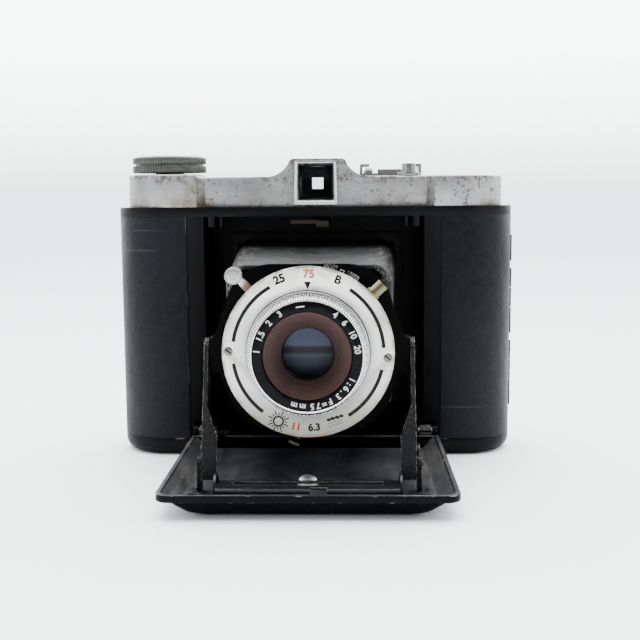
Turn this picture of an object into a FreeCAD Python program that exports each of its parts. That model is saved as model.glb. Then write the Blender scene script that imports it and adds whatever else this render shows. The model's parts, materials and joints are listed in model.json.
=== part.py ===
import FreeCAD, Part
import math
import os

# Folding roll-film camera, shown open. Millimetres, +Z up, the lens looks along -Y.
# The origin is the mouth of the tripod socket: X = 0, half way through the body, z = 0.

# ---- driving dimensions -------------------------------------------------------------
BODY_WIDTH = 135.0
BODY_DEPTH = 33.0
BASE_TOP = 6.0
LEATHER_TOP = 81.2
RIM_TOP = 84.3
DECK_TOP = 94.4
TURRET_RISE = 0.9
TURRET_X = -38.9
LEATHER = 0.8
WALL = 1.4
SHELL_GAP = 0.3
FRONT_Y = -BODY_DEPTH / 2
END_R = BODY_DEPTH / 2
SPLIT_Y = 2.5
CHAMBER_X = 36.7
LEDGE_X = 42.5
FILM_Y = 10.0
ROLLER_X = 40.2
ROLLER_Y = 9.7

HINGE_Y = FRONT_Y + 1.0
HINGE_Z = 8.5
HINGE_PIN_R = 1.0
BED_HALF_X = 42.0
BED_FRONT_Y = FRONT_Y - 71.8
BED_BACK_Y = FRONT_Y - 0.6
BED_RIM_Z = 7.2
BED_LIP_Z = 5.2
BED_FLOOR_Z = 3.2
RIVET_X = -0.7
RIVET_Y = FRONT_Y - 46.3

STRUT_TOP_Y = FRONT_Y - 43.5
STRUT_TOP_Z = 43.0
STRUT_FOOT_Y = FRONT_Y - 53.194
STRUT_FOOT_Z = 11.5
STRUT_X = 29.4
STRUT_T = 1.2
LINK_X = 30.9
LINK_BODY_Y = FRONT_Y + 2.345
LINK_BODY_Z = 6.963
LINK_ALONG = 3.5
LINK_ACROSS = 4.5
PIN_R = 0.8
PIN_FIT = 0.06

LENS_Z = 44.0
BOARD_Y = FRONT_Y - 47.0
BOARD_T = 1.2
BOARD_R = 27.2
BOARD_HALF = 25.7
BELLOWS_FRONT = 24.5
BELLOWS_BACK = 28.5
PLATE_R = 24.46
FOCUS_R = 16.7
FOCUS_FRONT = 16.3
BLADE_PIVOT = 16.5
STOP_PIVOT = 17.0
STOP_SWING = 37.5

KNOB_X = -50.1
KNOB_Y = FRONT_Y + 16.0
KNOB_R = 12.6
KNOB_LOW_Z = 96.0
KNOB_TOP_Z = 101.5

BUTTON_X = 31.9
BUTTON_Y = FRONT_Y + 8.0
CATCH_X = 18.6
CATCH_Y = FRONT_Y + 13.6
SHOE_X = 26.2
SHOE_HALF = 10.5
SHOE_FRONT_Y = FRONT_Y + 15.8
SHOE_BACK_Y = FRONT_Y + 29.8

FINDER_X = 0.7
FINDER_Z = 92.3

BACK_PIN_X = 67.3
BACK_PIN_R = 0.8
BACK_KNUCKLE_R = 1.3
SOCKET_R = 3.175

X_AXIS = FreeCAD.Vector(1, 0, 0)
Y_AXIS = FreeCAD.Vector(0, 1, 0)
Z_AXIS = FreeCAD.Vector(0, 0, 1)


# ---- small helpers ------------------------------------------------------------------
def vec(x, y, z):
    return FreeCAD.Vector(x, y, z)


def box(x0, x1, y0, y1, z0, z1):
    return Part.makeBox(x1 - x0, y1 - y0, z1 - z0, vec(x0, y0, z0))


def rod(x, y, z, radius, length, axis=Z_AXIS):
    return Part.makeCylinder(radius, length, vec(x, y, z), axis)


def ring(x, y, z, outer, inner, length, axis=Z_AXIS):
    solid = Part.makeCylinder(outer, length, vec(x, y, z), axis)
    return solid.cut(Part.makeCylinder(inner, length, vec(x, y, z), axis))


def fuse(shapes):
    first, *rest = shapes
    return first.fuse(rest).removeSplitter() if rest else first


def cut(shape, tools):
    return shape.cut(tools)


def prism(points, direction):
    wire = Part.makePolygon(points + [points[0]])
    return Part.Face(wire).extrude(direction)


def mirrored(shape):
    return shape.mirror(vec(0, 0, 0), X_AXIS)


def both_sides(shape):
    return [shape, mirrored(shape)]


def stadium(half_x, radius, z0, z1, y_mid=0.0):
    straight = half_x - radius
    middle = box(-straight, straight, y_mid - radius, y_mid + radius, z0, z1)
    ends = [rod(side * straight, y_mid, z0, radius, z1 - z0) for side in (-1, 1)]
    return fuse([middle] + ends)


def lens_tube(front, back, outer, inner=0.0):
    """A tube on the lens axis; front and back are distances ahead of the board's face."""
    solid = Part.makeCylinder(outer, front - back, vec(0, BOARD_Y - front, LENS_Z), Y_AXIS)
    if inner == 0.0:
        return solid
    return solid.cut(Part.makeCylinder(inner, front - back, vec(0, BOARD_Y - front, LENS_Z), Y_AXIS))


def lens_point(radius, angle, ahead):
    """A point at a clock angle in degrees, clockwise from the top as the lens is looked at."""
    turn = math.radians(angle)
    return vec(radius * math.sin(turn), BOARD_Y - ahead, LENS_Z + radius * math.cos(turn))


def lens_sector(front, back, outer, inner, start, end):
    """Part of a ring round the lens axis, between two clock angles."""
    steps = max(2, int(abs(end - start) / 3))
    angles = [start + (end - start) * i / steps for i in range(steps + 1)]
    points = [lens_point(outer, a, back) for a in angles]
    points += [lens_point(inner, a, back) for a in reversed(angles)]
    return prism(points, vec(0, back - front, 0))


def knurled(x, y, z, radius, depth, teeth, length, axis=Z_AXIS):
    """A knurled cylinder: a star outline with one shallow groove per tooth."""
    points = []
    for i in range(2 * teeth):
        r = radius if i % 2 == 0 else radius - depth
        turn = math.pi * i / teeth
        if axis == Z_AXIS:
            points.append(vec(x + r * math.cos(turn), y + r * math.sin(turn), z))
        else:
            points.append(vec(x + r * math.cos(turn), y, z + r * math.sin(turn)))
    return prism(points, axis * length)


def swept_plate(x0, thickness, centres, radii):
    """A flat side plate: round ends at (y, z) centres joined by their tangents."""
    (y1, z1), (y2, z2) = centres
    r1, r2 = radii
    length = math.hypot(y2 - y1, z2 - z1)
    lean = math.atan2(z2 - z1, y2 - y1)
    spread = math.acos((r1 - r2) / length)
    corners = []
    for (y, z), r, sign in (((y1, z1), r1, 1), ((y2, z2), r2, 1), ((y2, z2), r2, -1), ((y1, z1), r1, -1)):
        turn = lean + sign * spread
        corners.append(vec(x0, y + r * math.cos(turn), z + r * math.sin(turn)))
    web = prism(corners, vec(thickness, 0, 0))
    ends = [rod(x0, y, z, r, thickness, X_AXIS) for (y, z), r in zip(centres, radii)]
    return fuse([web] + ends)


def rounded_plate(half_x, z0, z1, y0, y1, radius):
    """A plate in the XZ plane with four round corners."""
    upright = box(-half_x + radius, half_x - radius, y0, y1, z0, z1)
    level = box(-half_x, half_x, y0, y1, z0 + radius, z1 - radius)
    corners = []
    for sx in (-1, 1):
        for z in (z0 + radius, z1 - radius):
            corners.append(rod(sx * (half_x - radius), y0, z, radius, y1 - y0, Y_AXIS))
    return fuse([upright, level] + corners)


def upright_loop(x, z, half, y):
    """A square outline standing in the XZ plane about a centre."""
    points = [vec(x - half, y, z - half), vec(x + half, y, z - half),
              vec(x + half, y, z + half), vec(x - half, y, z + half)]
    return Part.makePolygon(points + [points[0]])


def save(name, shape):
    shape.exportStep("parts/" + name + ".step")


# ---- hinge of the back --------------------------------------------------------------
KNUCKLE_LENGTH = 9.0
BODY_KNUCKLES = (14.0, 39.5, 65.0)
BACK_KNUCKLES = (23.3, 30.2, 48.8, 55.7)
BACK_KNUCKLE_LENGTH = 6.6


def back_knuckle(z, length, extra=0.0):
    return rod(BACK_PIN_X, SPLIT_Y, z - extra, BACK_KNUCKLE_R + extra, length + 2 * extra)


def knuckle_set(starts, length, extra=0.0):
    return [back_knuckle(z, length, extra) for z in starts]


def pin_channel():
    return rod(BACK_PIN_X, SPLIT_Y, BASE_TOP, BACK_PIN_R + PIN_FIT, LEATHER_TOP - BASE_TOP)


# ---- body ---------------------------------------------------------------------------
def bed_hinge_lug(x0, x1):
    knuckle = rod(x0, HINGE_Y, HINGE_Z, 1.9, x1 - x0, X_AXIS)
    foot = box(x0, x1, HINGE_Y - 0.9, HINGE_Y + 4.0, BASE_TOP, HINGE_Z)
    tail = box(x0, x1, HINGE_Y, HINGE_Y + 4.0, HINGE_Z - 1.0, HINGE_Z + 1.9)
    return fuse([knuckle, foot, tail])


def link_lug():
    x0 = LINK_X - 0.2 - 1.2
    post = box(x0, x0 + 1.2, LINK_BODY_Y - 1.5, LINK_BODY_Y + 6.0, BASE_TOP, LINK_BODY_Z)
    boss = rod(x0, LINK_BODY_Y, LINK_BODY_Z, 1.5, 1.2, X_AXIS)
    return fuse([post, boss])


def link_slot():
    """Room for the rear link, its pin's head and their swing beside the lug."""
    return box(LINK_X - 0.2, LINK_X + 2.1, FRONT_Y - 1, LINK_BODY_Y + 2.2, 4.9, 12.0)


def body_shell():
    radius = END_R - LEATHER
    outer = stadium(BODY_WIDTH / 2 - LEATHER, radius, BASE_TOP, LEATHER_TOP)
    hollow = stadium(BODY_WIDTH / 2 - LEATHER - WALL, radius - WALL, BASE_TOP, LEATHER_TOP)
    rear = box(-70, 70, SPLIT_Y - SHELL_GAP, 20, 0, 100)
    wall = cut(outer, [hollow, rear])
    opening = box(-CHAMBER_X, CHAMBER_X, FRONT_Y - 1, FRONT_Y + 5, BASE_TOP + 1, LEATHER_TOP)
    wall = cut(wall, [opening])
    floor = stadium(BODY_WIDTH / 2 - 2.5, END_R - 2.5, BASE_TOP, BASE_TOP + 1)
    deck = stadium(BODY_WIDTH / 2, END_R, LEATHER_TOP, RIM_TOP)
    side = box(CHAMBER_X, CHAMBER_X + 1.0, FRONT_Y + 1.5, FILM_Y - 1.5, BASE_TOP, LEATHER_TOP)
    shell = fuse([wall, floor, deck] + both_sides(side))
    pocket = box(33.3, 41.4, FRONT_Y - 1, FRONT_Y + 4.5, BASE_TOP, 11.8)
    shell = cut(shell, both_sides(pocket))
    lugs = both_sides(bed_hinge_lug(33.4, 35.0)) + both_sides(bed_hinge_lug(39.7, 41.4))
    lugs += both_sides(link_lug())
    pocket_floor = box(33.3, 41.4, FRONT_Y + 1.2, FRONT_Y + 4.5, BASE_TOP, BASE_TOP + 0.4)
    pocket_back = box(33.3, 41.4, FRONT_Y + 4.5, FRONT_Y + 5.5, BASE_TOP, 11.8)
    shell = fuse([shell] + lugs + both_sides(pocket_floor) + both_sides(pocket_back))
    shell = cut(shell, knuckle_set(BACK_KNUCKLES, BACK_KNUCKLE_LENGTH, 0.2))
    shell = fuse([shell] + knuckle_set(BODY_KNUCKLES, KNUCKLE_LENGTH))
    holes = [pin_channel()] + both_sides(link_slot())
    holes += both_sides(rod(33, HINGE_Y, HINGE_Z, HINGE_PIN_R, 9, X_AXIS))
    holes += both_sides(rod(LINK_X - 2, LINK_BODY_Y, LINK_BODY_Z, PIN_R, 3, X_AXIS))
    holes.append(rod(KNOB_X, KNOB_Y, LEATHER_TOP - 1, 2.56, 5))
    holes.append(rod(BUTTON_X, BUTTON_Y, LEATHER_TOP - 1, 1.6, 5))
    holes += both_sides(rod(ROLLER_X, ROLLER_Y, BASE_TOP - 1, 0.81, 3))
    holes += both_sides(rod(ROLLER_X, ROLLER_Y, LEATHER_TOP - 1, 0.81, 3))
    holes.append(box(-8.0, 8.0, FRONT_Y + 6.2, FRONT_Y + 13.8, BASE_TOP, BASE_TOP + 2))
    return cut(shell, holes)


def strut_catches():
    """Two thin cheeks under the deck on each side, which hold the struts of the folded camera in line."""
    y0 = FRONT_Y + 0.3
    y1 = FRONT_Y + 1.7
    cheeks = both_sides(box(30.4, 31.1, y0, y1, 77.7, LEATHER_TOP))
    cheeks += both_sides(box(33.0, 35.1, y0 + 0.4, y1, 77.7, LEATHER_TOP))
    return cheeks


def base_plate():
    solid = stadium(BODY_WIDTH / 2, END_R, 0, BASE_TOP)
    low_edges = [e for e in solid.Edges if e.BoundBox.ZMax < 0.01]
    solid = solid.makeFillet(4.2, low_edges)
    pocket = stadium(BODY_WIDTH / 2 - 5, END_R - 5, 1.5, BASE_TOP)
    post = rod(0, 0, 1.0, 8.5, BASE_TOP - 1.0)
    room = box(LINK_X - 1.6, LINK_X + 2.1, FRONT_Y - 1, LINK_BODY_Y + 6.2, 4.9, BASE_TOP)
    solid = cut(solid, [pocket] + both_sides(room))
    return fuse([solid, post]).cut(rod(0, 0, -1, 6.5, 9))


def tripod_bush():
    bush = rod(0, 0, 0, 6.5, BASE_TOP)
    return cut(bush, [rod(0, 0, -1, SOCKET_R, 6.0)])


def leather_front(side):
    outer = stadium(BODY_WIDTH / 2, END_R, BASE_TOP, LEATHER_TOP)
    inner = stadium(BODY_WIDTH / 2 - LEATHER, END_R - LEATHER, BASE_TOP - 1, LEATHER_TOP + 1)
    middle = box(-LEDGE_X, LEDGE_X, -30, 30, 0, 100)
    rear = box(-70, 70, SPLIT_Y - SHELL_GAP, 20, 0, 100)
    other = box(-80, 0, -30, 30, 0, 100) if side > 0 else box(0, 80, -30, 30, 0, 100)
    skin = cut(outer, [inner, middle, rear, other])
    if side > 0:
        around = knuckle_set(BACK_KNUCKLES, BACK_KNUCKLE_LENGTH, 0.2)
        around += knuckle_set(BODY_KNUCKLES, KNUCKLE_LENGTH) + [pin_channel()]
        skin = cut(skin, around)
    return skin


def film_gate():
    plate = box(-37.7, 37.7, FILM_Y - 1.5, FILM_Y, BASE_TOP + 1, LEATHER_TOP)
    window = box(-28, 28, FILM_Y - 2, FILM_Y + 1, LENS_Z - 28, LENS_Z + 28)
    rails = [box(-34, 34, FILM_Y, FILM_Y + 0.8, z, z + 2) for z in (LENS_Z - 32, LENS_Z + 30)]
    return fuse([cut(plate, [window])] + rails)


def film_roller(side):
    low = BASE_TOP + 0.3
    pin = rod(side * ROLLER_X, ROLLER_Y, low, 0.75, LEATHER_TOP + 0.6 - low)
    barrel = rod(side * ROLLER_X, ROLLER_Y, 12.0, 2.0, 64.0)
    ends = [rod(side * ROLLER_X, ROLLER_Y, z, 2.4, 3.0) for z in (9.0, 76.0)]
    return fuse([pin, barrel] + ends)


def spool_pins():
    low = rod(-KNOB_X, KNOB_Y, BASE_TOP + 1, 2.6, 2.5)
    high = rod(-KNOB_X, KNOB_Y, 76.0, 2.6, LEATHER_TOP - 76.0)
    foot = rod(KNOB_X, KNOB_Y, BASE_TOP + 1, 2.6, 2.5)
    return Part.makeCompound([low, high, foot])


def bellows_frame():
    outer = box(-31, 31, FILM_Y - 2.9, FILM_Y - 1.5, LENS_Z - 31, LENS_Z + 31)
    return cut(outer, [box(-27.6, 27.6, FILM_Y - 4, FILM_Y, LENS_Z - 27.6, LENS_Z + 27.6)])


def bellows():
    back_y = FILM_Y - 3.2
    front_y = BOARD_Y + BOARD_T + 1.0
    tubes = []
    for inset in (0.0, 2.2):
        front = upright_loop(0, LENS_Z, BELLOWS_FRONT - inset, front_y)
        back = upright_loop(0, LENS_Z, BELLOWS_BACK - inset, back_y)
        tubes.append(Part.makeLoft([front, back], True, True))
    return cut(tubes[0], tubes[1:])


def hinge_pins():
    return Part.makeCompound(both_sides(rod(33.4, HINGE_Y, HINGE_Z, HINGE_PIN_R, 8.0, X_AXIS)))


def link_body_pins():
    pin = rod(LINK_X - 1.4, LINK_BODY_Y, LINK_BODY_Z, PIN_R, 2.7, X_AXIS)
    head = rod(LINK_X + 1.3, LINK_BODY_Y, LINK_BODY_Z, 1.3, 0.5, X_AXIS)
    return Part.makeCompound(both_sides(fuse([pin, head])))


# ---- top housing --------------------------------------------------------------------
def housing_plan(inset, z0, z1):
    """Plan of the top cover: two round turrets and a set-back middle."""
    front = FRONT_Y + 0.3 + inset
    middle = FRONT_Y + 4.0 + inset
    back = 14.7 - inset
    radius = (back - front) / 2
    centre = (back + front) / 2
    end = 64.0 - inset
    turn = end - radius
    edges = [
        Part.LineSegment(vec(-turn, front, z0), vec(TURRET_X, front, z0)).toShape(),
        Part.LineSegment(vec(TURRET_X, front, z0), vec(-36.4, middle, z0)).toShape(),
        Part.LineSegment(vec(-36.4, middle, z0), vec(37.6, middle, z0)).toShape(),
        Part.LineSegment(vec(37.6, middle, z0), vec(40.1, front, z0)).toShape(),
        Part.LineSegment(vec(40.1, front, z0), vec(turn, front, z0)).toShape(),
        Part.Arc(vec(turn, front, z0), vec(end, centre, z0), vec(turn, back, z0)).toShape(),
        Part.LineSegment(vec(turn, back, z0), vec(-turn, back, z0)).toShape(),
        Part.Arc(vec(-turn, back, z0), vec(-end, centre, z0), vec(-turn, front, z0)).toShape(),
    ]
    return Part.Face(Part.Wire(edges)).extrude(vec(0, 0, z1 - z0))


def round_top(block, top, radius):
    edges = [e for e in block.Edges if e.BoundBox.ZMin > top - 0.01]
    return block.makeFillet(radius, edges)


def deck_blocks():
    """The low part of the top cover, and the turret of the winding knob, which stands a little higher."""
    step = box(-80, TURRET_X, -30, 30, 80, 100)
    low = round_top(housing_plan(0.0, RIM_TOP, DECK_TOP), DECK_TOP, 0.8).cut(step)
    high = DECK_TOP + TURRET_RISE
    turret = housing_plan(0.0, RIM_TOP, high).common(step)
    return [low, round_top(turret, high, 0.8)]


def finder_hump(drop, y0, y1):
    """The finder's hump: a flat roof, small round shoulders and sides swept out to the deck."""
    roof = 100.2 - drop
    deck = DECK_TOP - drop
    half = 9.2 - drop
    sweep = 10.0
    centre = FINDER_X + 0.6
    low = deck - 2.0
    wide = half + sweep
    sweep_points = [(wide, deck), (half + 3.4, deck + 1.2), (half + 0.5, roof - 1.5)]
    shoulder = [(half - 0.1, roof - 0.4), (half - 1.2, roof)]
    points = [[vec(centre + side * x, y0, z) for x, z in sweep_points + shoulder] for side in (-1, 1)]
    edges = []
    for flank in points:
        edges.append(Part.Arc(flank[0], flank[1], flank[2]).toShape())
        edges.append(Part.Arc(flank[2], flank[3], flank[4]).toShape())
        edges.append(Part.LineSegment(flank[0], vec(flank[0].x, y0, low)).toShape())
    edges.append(Part.LineSegment(points[0][4], points[1][4]).toShape())
    edges.append(Part.LineSegment(vec(centre - wide, y0, low), vec(centre + wide, y0, low)).toShape())
    wire = Part.Wire(Part.__sortEdges__(edges))
    return Part.Face(wire).extrude(vec(0, y1 - y0, 0))


def top_housing():
    outer = fuse(deck_blocks() + [finder_hump(0.0, FRONT_Y + 4.05, 14.65)])
    inner = fuse([housing_plan(1.0, RIM_TOP, DECK_TOP - 1.0), finder_hump(1.0, FRONT_Y + 5.0, 13.7)])
    finder = box(FINDER_X - 5.9, FINDER_X + 5.9, -20, FRONT_Y + 12, FINDER_Z - 6.0, FINDER_Z + 6.0)
    eyepiece = box(FINDER_X - 4.0, FINDER_X + 4.0, 5, 20, FINDER_Z - 4.0, FINDER_Z + 4.0)
    holes = [inner, finder, eyepiece]
    holes.append(rod(KNOB_X, KNOB_Y, RIM_TOP, 2.56, 20))
    holes.append(rod(BUTTON_X, BUTTON_Y, RIM_TOP, 2.56, 20))
    holes.append(rod(CATCH_X, CATCH_Y, RIM_TOP, 1.3, 20))
    holes.append(box(SHOE_X - SHOE_HALF, SHOE_X + SHOE_HALF, SHOE_FRONT_Y, SHOE_BACK_Y, DECK_TOP, 99))
    return cut(outer, holes)


def finder_frame():
    y0 = FRONT_Y + 3.0
    plate = box(FINDER_X - 7.1, FINDER_X + 7.1, y0, FRONT_Y + 4.0, FINDER_Z - 7.5, FINDER_Z + 7.2)
    wide = upright_loop(FINDER_X, FINDER_Z, 6.5, y0 - 0.1)
    small = upright_loop(FINDER_X, FINDER_Z, 5.6, y0 + 1.1)
    return cut(plate, [Part.makeLoft([wide, small], True, True)])


def finder_tunnel():
    y0 = FRONT_Y + 4.0
    outer = box(FINDER_X - 5.8, FINDER_X + 5.8, y0, 13.6, FINDER_Z - 5.9, FINDER_Z + 5.9)
    inner = box(FINDER_X - 5.4, FINDER_X + 5.4, y0 - 1, 12.8, FINDER_Z - 5.5, FINDER_Z + 5.5)
    eye = box(FINDER_X - 2.0, FINDER_X + 2.0, 12, 15, FINDER_Z - 2.0, FINDER_Z + 2.0)
    return cut(outer, [inner, eye])


def finder_front_lens():
    y0 = FRONT_Y + 4.6
    slab = box(FINDER_X - 5.4, FINDER_X + 5.4, y0, y0 + 1.8, FINDER_Z - 5.5, FINDER_Z + 5.5)
    ball = Part.makeSphere(22.0, vec(FINDER_X, y0 - 21.3, FINDER_Z))
    return cut(slab, [ball])


def finder_rear_lens():
    slab = box(FINDER_X - 4.0, FINDER_X + 4.0, 11.2, 12.8, FINDER_Z - 4.0, FINDER_Z + 4.0)
    ball = Part.makeSphere(24.0, vec(FINDER_X, 11.2 + 24.0, FINDER_Z))
    return slab.common(ball)


def eyepiece_frame():
    y0 = 13.6
    plate = box(FINDER_X - 4.6, FINDER_X + 4.6, 14.7, 15.5, FINDER_Z - 4.6, FINDER_Z + 4.6)
    neck = box(FINDER_X - 3.9, FINDER_X + 3.9, y0, 14.7, FINDER_Z - 3.9, FINDER_Z + 3.9)
    eye = box(FINDER_X - 2.2, FINDER_X + 2.2, 13, 16, FINDER_Z - 2.2, FINDER_Z + 2.2)
    return cut(fuse([plate, neck]), [eye])


def accessory_shoe():
    left = SHOE_X - SHOE_HALF
    right = SHOE_X + SHOE_HALF
    t = 0.8
    low = DECK_TOP
    floor = box(left, right, SHOE_FRONT_Y, SHOE_BACK_Y, low, low + t)
    walls = [box(x, x + t, SHOE_FRONT_Y, SHOE_BACK_Y, low, low + 4.2) for x in (left, right - t)]
    lips = [box(left, left + 3.2, SHOE_FRONT_Y, SHOE_BACK_Y, low + 3.4, low + 4.2),
            box(right - 3.2, right, SHOE_FRONT_Y, SHOE_BACK_Y, low + 3.4, low + 4.2)]
    stop = box(left + 6, right - 6, SHOE_FRONT_Y, SHOE_FRONT_Y + t, low, low + 2.4)
    return fuse([floor] + walls + lips + [stop])


def shoe_spring():
    low = DECK_TOP + 0.8
    return box(SHOE_X - 6.5, SHOE_X + 6.5, SHOE_FRONT_Y + 2.5, SHOE_BACK_Y - 2.5, low, low + 0.35)


def shoe_screws():
    low = DECK_TOP + 0.8
    heads = []
    for x in (SHOE_X - 8.2, SHOE_X + 8.2):
        for y in (SHOE_FRONT_Y + 3.0, SHOE_BACK_Y - 3.0):
            slot = box(x - 1.4, x + 1.4, y - 0.15, y + 0.15, low + 0.3, low + 1)
            heads.append(cut(rod(x, y, low, 1.1, 0.6), [slot]))
    return Part.makeCompound(heads)


def button_collar():
    return ring(BUTTON_X, BUTTON_Y, DECK_TOP, 3.85, 2.56, 1.0)


# ---- controls on the top ------------------------------------------------------------
def winding_knob():
    low = knurled(KNOB_X, KNOB_Y, KNOB_LOW_Z, KNOB_R, 0.28, 84, 2.3)
    groove = rod(KNOB_X, KNOB_Y, KNOB_LOW_Z + 2.3, KNOB_R - 0.9, 0.7)
    high = knurled(KNOB_X, KNOB_Y, KNOB_LOW_Z + 3.0, KNOB_R, 0.28, 84, 2.0)
    crown = Part.makeCone(KNOB_R - 0.3, KNOB_R - 1.0, 0.5, vec(KNOB_X, KNOB_Y, KNOB_TOP_Z - 0.5))
    recess = ring(KNOB_X, KNOB_Y, KNOB_TOP_Z - 0.4, KNOB_R - 2.2, 4.2, 1.0)
    turret_top = DECK_TOP + TURRET_RISE
    neck = rod(KNOB_X, KNOB_Y, turret_top, 5.0, KNOB_LOW_Z - turret_top)
    shaft = rod(KNOB_X, KNOB_Y, 76.2, 2.5, KNOB_LOW_Z - 76.2)
    return cut(fuse([low, groove, high, crown, neck, shaft]), [recess])


def winding_key():
    return box(KNOB_X - 3.2, KNOB_X + 3.2, KNOB_Y - 0.7, KNOB_Y + 0.7, 71.5, 76.2)


def take_up_spool():
    low = 9.8
    high = 74.6
    core = ring(KNOB_X, KNOB_Y, low, 5.5, 2.66, high - low)
    flanges = [ring(KNOB_X, KNOB_Y, z, 11.6, 2.66, 0.9) for z in (low, high - 0.9)]
    slot = box(KNOB_X - 3.3, KNOB_X + 3.3, KNOB_Y - 0.8, KNOB_Y + 0.8, high - 3.5, high)
    return cut(fuse([core] + flanges), [slot])


def release_button():
    cap = rod(BUTTON_X, BUTTON_Y, RIM_TOP + 6.0, 2.45, 98.5 - RIM_TOP - 6.0)
    stem = rod(BUTTON_X, BUTTON_Y, RIM_TOP + 3.0, 1.2, 3.0)
    dish = Part.makeSphere(6.0, vec(BUTTON_X, BUTTON_Y, 98.5 + 5.75))
    return cut(fuse([cap, stem]), [dish])


def bed_release_button():
    stem = rod(CATCH_X, CATCH_Y, RIM_TOP + 4.0, 1.2, 96.3 - RIM_TOP - 4.0)
    dome = Part.makeSphere(1.7, vec(CATCH_X, CATCH_Y, 95.6)).common(
        rod(CATCH_X, CATCH_Y, 95.9, 2.0, 3.0))
    return fuse([stem, dome])


def bed_latch_hook():
    x0 = 1.0
    pivot_y = FRONT_Y + 5.0
    pivot_z = 79.4
    arm = box(x0, x0 + 4.0, FRONT_Y - 1.2, pivot_y, 78.6, 79.6)
    nose = prism([vec(x0, FRONT_Y - 1.2, 79.6), vec(x0, FRONT_Y - 1.2, 77.6), vec(x0, FRONT_Y - 0.3, 77.6),
                  vec(x0, FRONT_Y + 0.6, 78.6), vec(x0, FRONT_Y + 0.6, 79.6)], vec(4.0, 0, 0))
    cross_bar = box(-7.6, x0 + 1.0, FRONT_Y + 0.6, FRONT_Y + 1.9, 78.65, 80.0)
    eye = rod(x0, pivot_y, pivot_z, 1.3, 4.0, X_AXIS)
    return cut(fuse([arm, nose, cross_bar, eye]), [rod(x0 - 1, pivot_y, pivot_z, 0.7 + PIN_FIT, 6, X_AXIS)])


def latch_bracket():
    pivot_y = FRONT_Y + 5.0
    pivot_z = 79.4
    y0 = pivot_y - 1.3
    y1 = pivot_y + 1.3
    cheeks = [box(x, x + 1.0, y0, y1, pivot_z - 1.3, LEATHER_TOP) for x in (-0.3, 5.3)]
    pin = rod(-0.3, pivot_y, pivot_z, 0.7, 6.6, X_AXIS)
    return fuse(cheeks + [pin])


# ---- bed ----------------------------------------------------------------------------
def bed_loop(side, front_inset, z, corner):
    """Plan outline of the bed at one height, set in at its sides and front."""
    x = BED_HALF_X - side
    front = BED_FRONT_Y + front_inset
    back = BED_BACK_Y - min(front_inset, 1.5)
    bend = front + corner
    k = corner * (1 - math.sqrt(0.5))
    edges = [
        Part.LineSegment(vec(-x, back, z), vec(-x, bend, z)).toShape(),
        Part.Arc(vec(-x, bend, z), vec(-x + k, front + k, z), vec(-x + corner, front, z)).toShape(),
        Part.LineSegment(vec(-x + corner, front, z), vec(x - corner, front, z)).toShape(),
        Part.Arc(vec(x - corner, front, z), vec(x - k, front + k, z), vec(x, bend, z)).toShape(),
        Part.LineSegment(vec(x, bend, z), vec(x, back, z)).toShape(),
        Part.LineSegment(vec(x, back, z), vec(-x, back, z)).toShape(),
    ]
    return Part.Wire(edges)


def bed_plate():
    """Pressed tray: a flat rim, a belly set in below it, hinge barrels at the back and a latch opening."""
    rim = Part.Face(bed_loop(0.0, 0.0, BED_LIP_Z, 4.0)).extrude(vec(0, 0, BED_RIM_Z - BED_LIP_Z))
    levels = [(2.9, 1.9, BED_LIP_Z), (4.2, 2.3, 3.6), (7.2, 4.4, 1.2), (10.6, 7.0, 0.0)]
    loops = [bed_loop(side, front, z, 4.0) for side, front, z in levels]
    belly = [Part.makeLoft([upper, lower], True, True) for upper, lower in zip(loops, loops[1:])]
    mouth = bed_loop(1.5, 1.5, BED_RIM_Z + 0.01, 3.0)
    floor = bed_loop(5.8, 5.0, BED_FLOOR_Z, 3.0)
    body = cut(fuse([rim] + belly), [Part.makeLoft([mouth, floor], True, True)])
    barrel = rod(35.4, HINGE_Y, HINGE_Z, 1.9, 3.9, X_AXIS)
    arm = box(35.4, 39.3, BED_BACK_Y - 0.8, HINGE_Y, 6.7, 8.0)
    drop = box(35.4, 39.3, BED_BACK_Y - 0.8, BED_BACK_Y, 5.3, 7.2)
    body = fuse([body] + both_sides(barrel) + both_sides(arm) + both_sides(drop))
    bores = both_sides(rod(35, HINGE_Y, HINGE_Z, HINGE_PIN_R + PIN_FIT, 5, X_AXIS))
    bores += both_sides(box(LINK_X - 0.4, LINK_X + 1.7, BED_BACK_Y - 3, BED_BACK_Y + 1, 4.4, 9))
    bores.append(rod(RIVET_X, RIVET_Y, 0, 1.6, 6))
    bores.append(box(0.4, 5.6, BED_FRONT_Y + 0.6, BED_FRONT_Y + 6, 5.4, 9))
    return cut(body, bores)


def strut_bracket():
    """Foot plate on the bed floor with an upright ear just outside the strut."""
    x0 = LINK_X + 0.1
    foot = (STRUT_FOOT_Y - 1.0, BED_FLOOR_Z + 2.0)
    ear = swept_plate(x0, 1.2, [foot, (STRUT_FOOT_Y, STRUT_FOOT_Z)], [2.6, 2.2])
    ear = ear.common(box(x0, x0 + 2, -100, 0, BED_FLOOR_Z, 40))
    foot = box(x0, x0 + 3.6, STRUT_FOOT_Y - 5.5, STRUT_FOOT_Y + 0.6, BED_FLOOR_Z, BED_FLOOR_Z + 0.8)
    pin = rod(STRUT_X - 0.5, STRUT_FOOT_Y, STRUT_FOOT_Z, PIN_R, x0 + 1.2 - STRUT_X + 1.0, X_AXIS)
    head = rod(STRUT_X - 0.9, STRUT_FOOT_Y, STRUT_FOOT_Z, 1.4, 0.6, X_AXIS)
    return fuse([ear, foot, pin, head])


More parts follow.
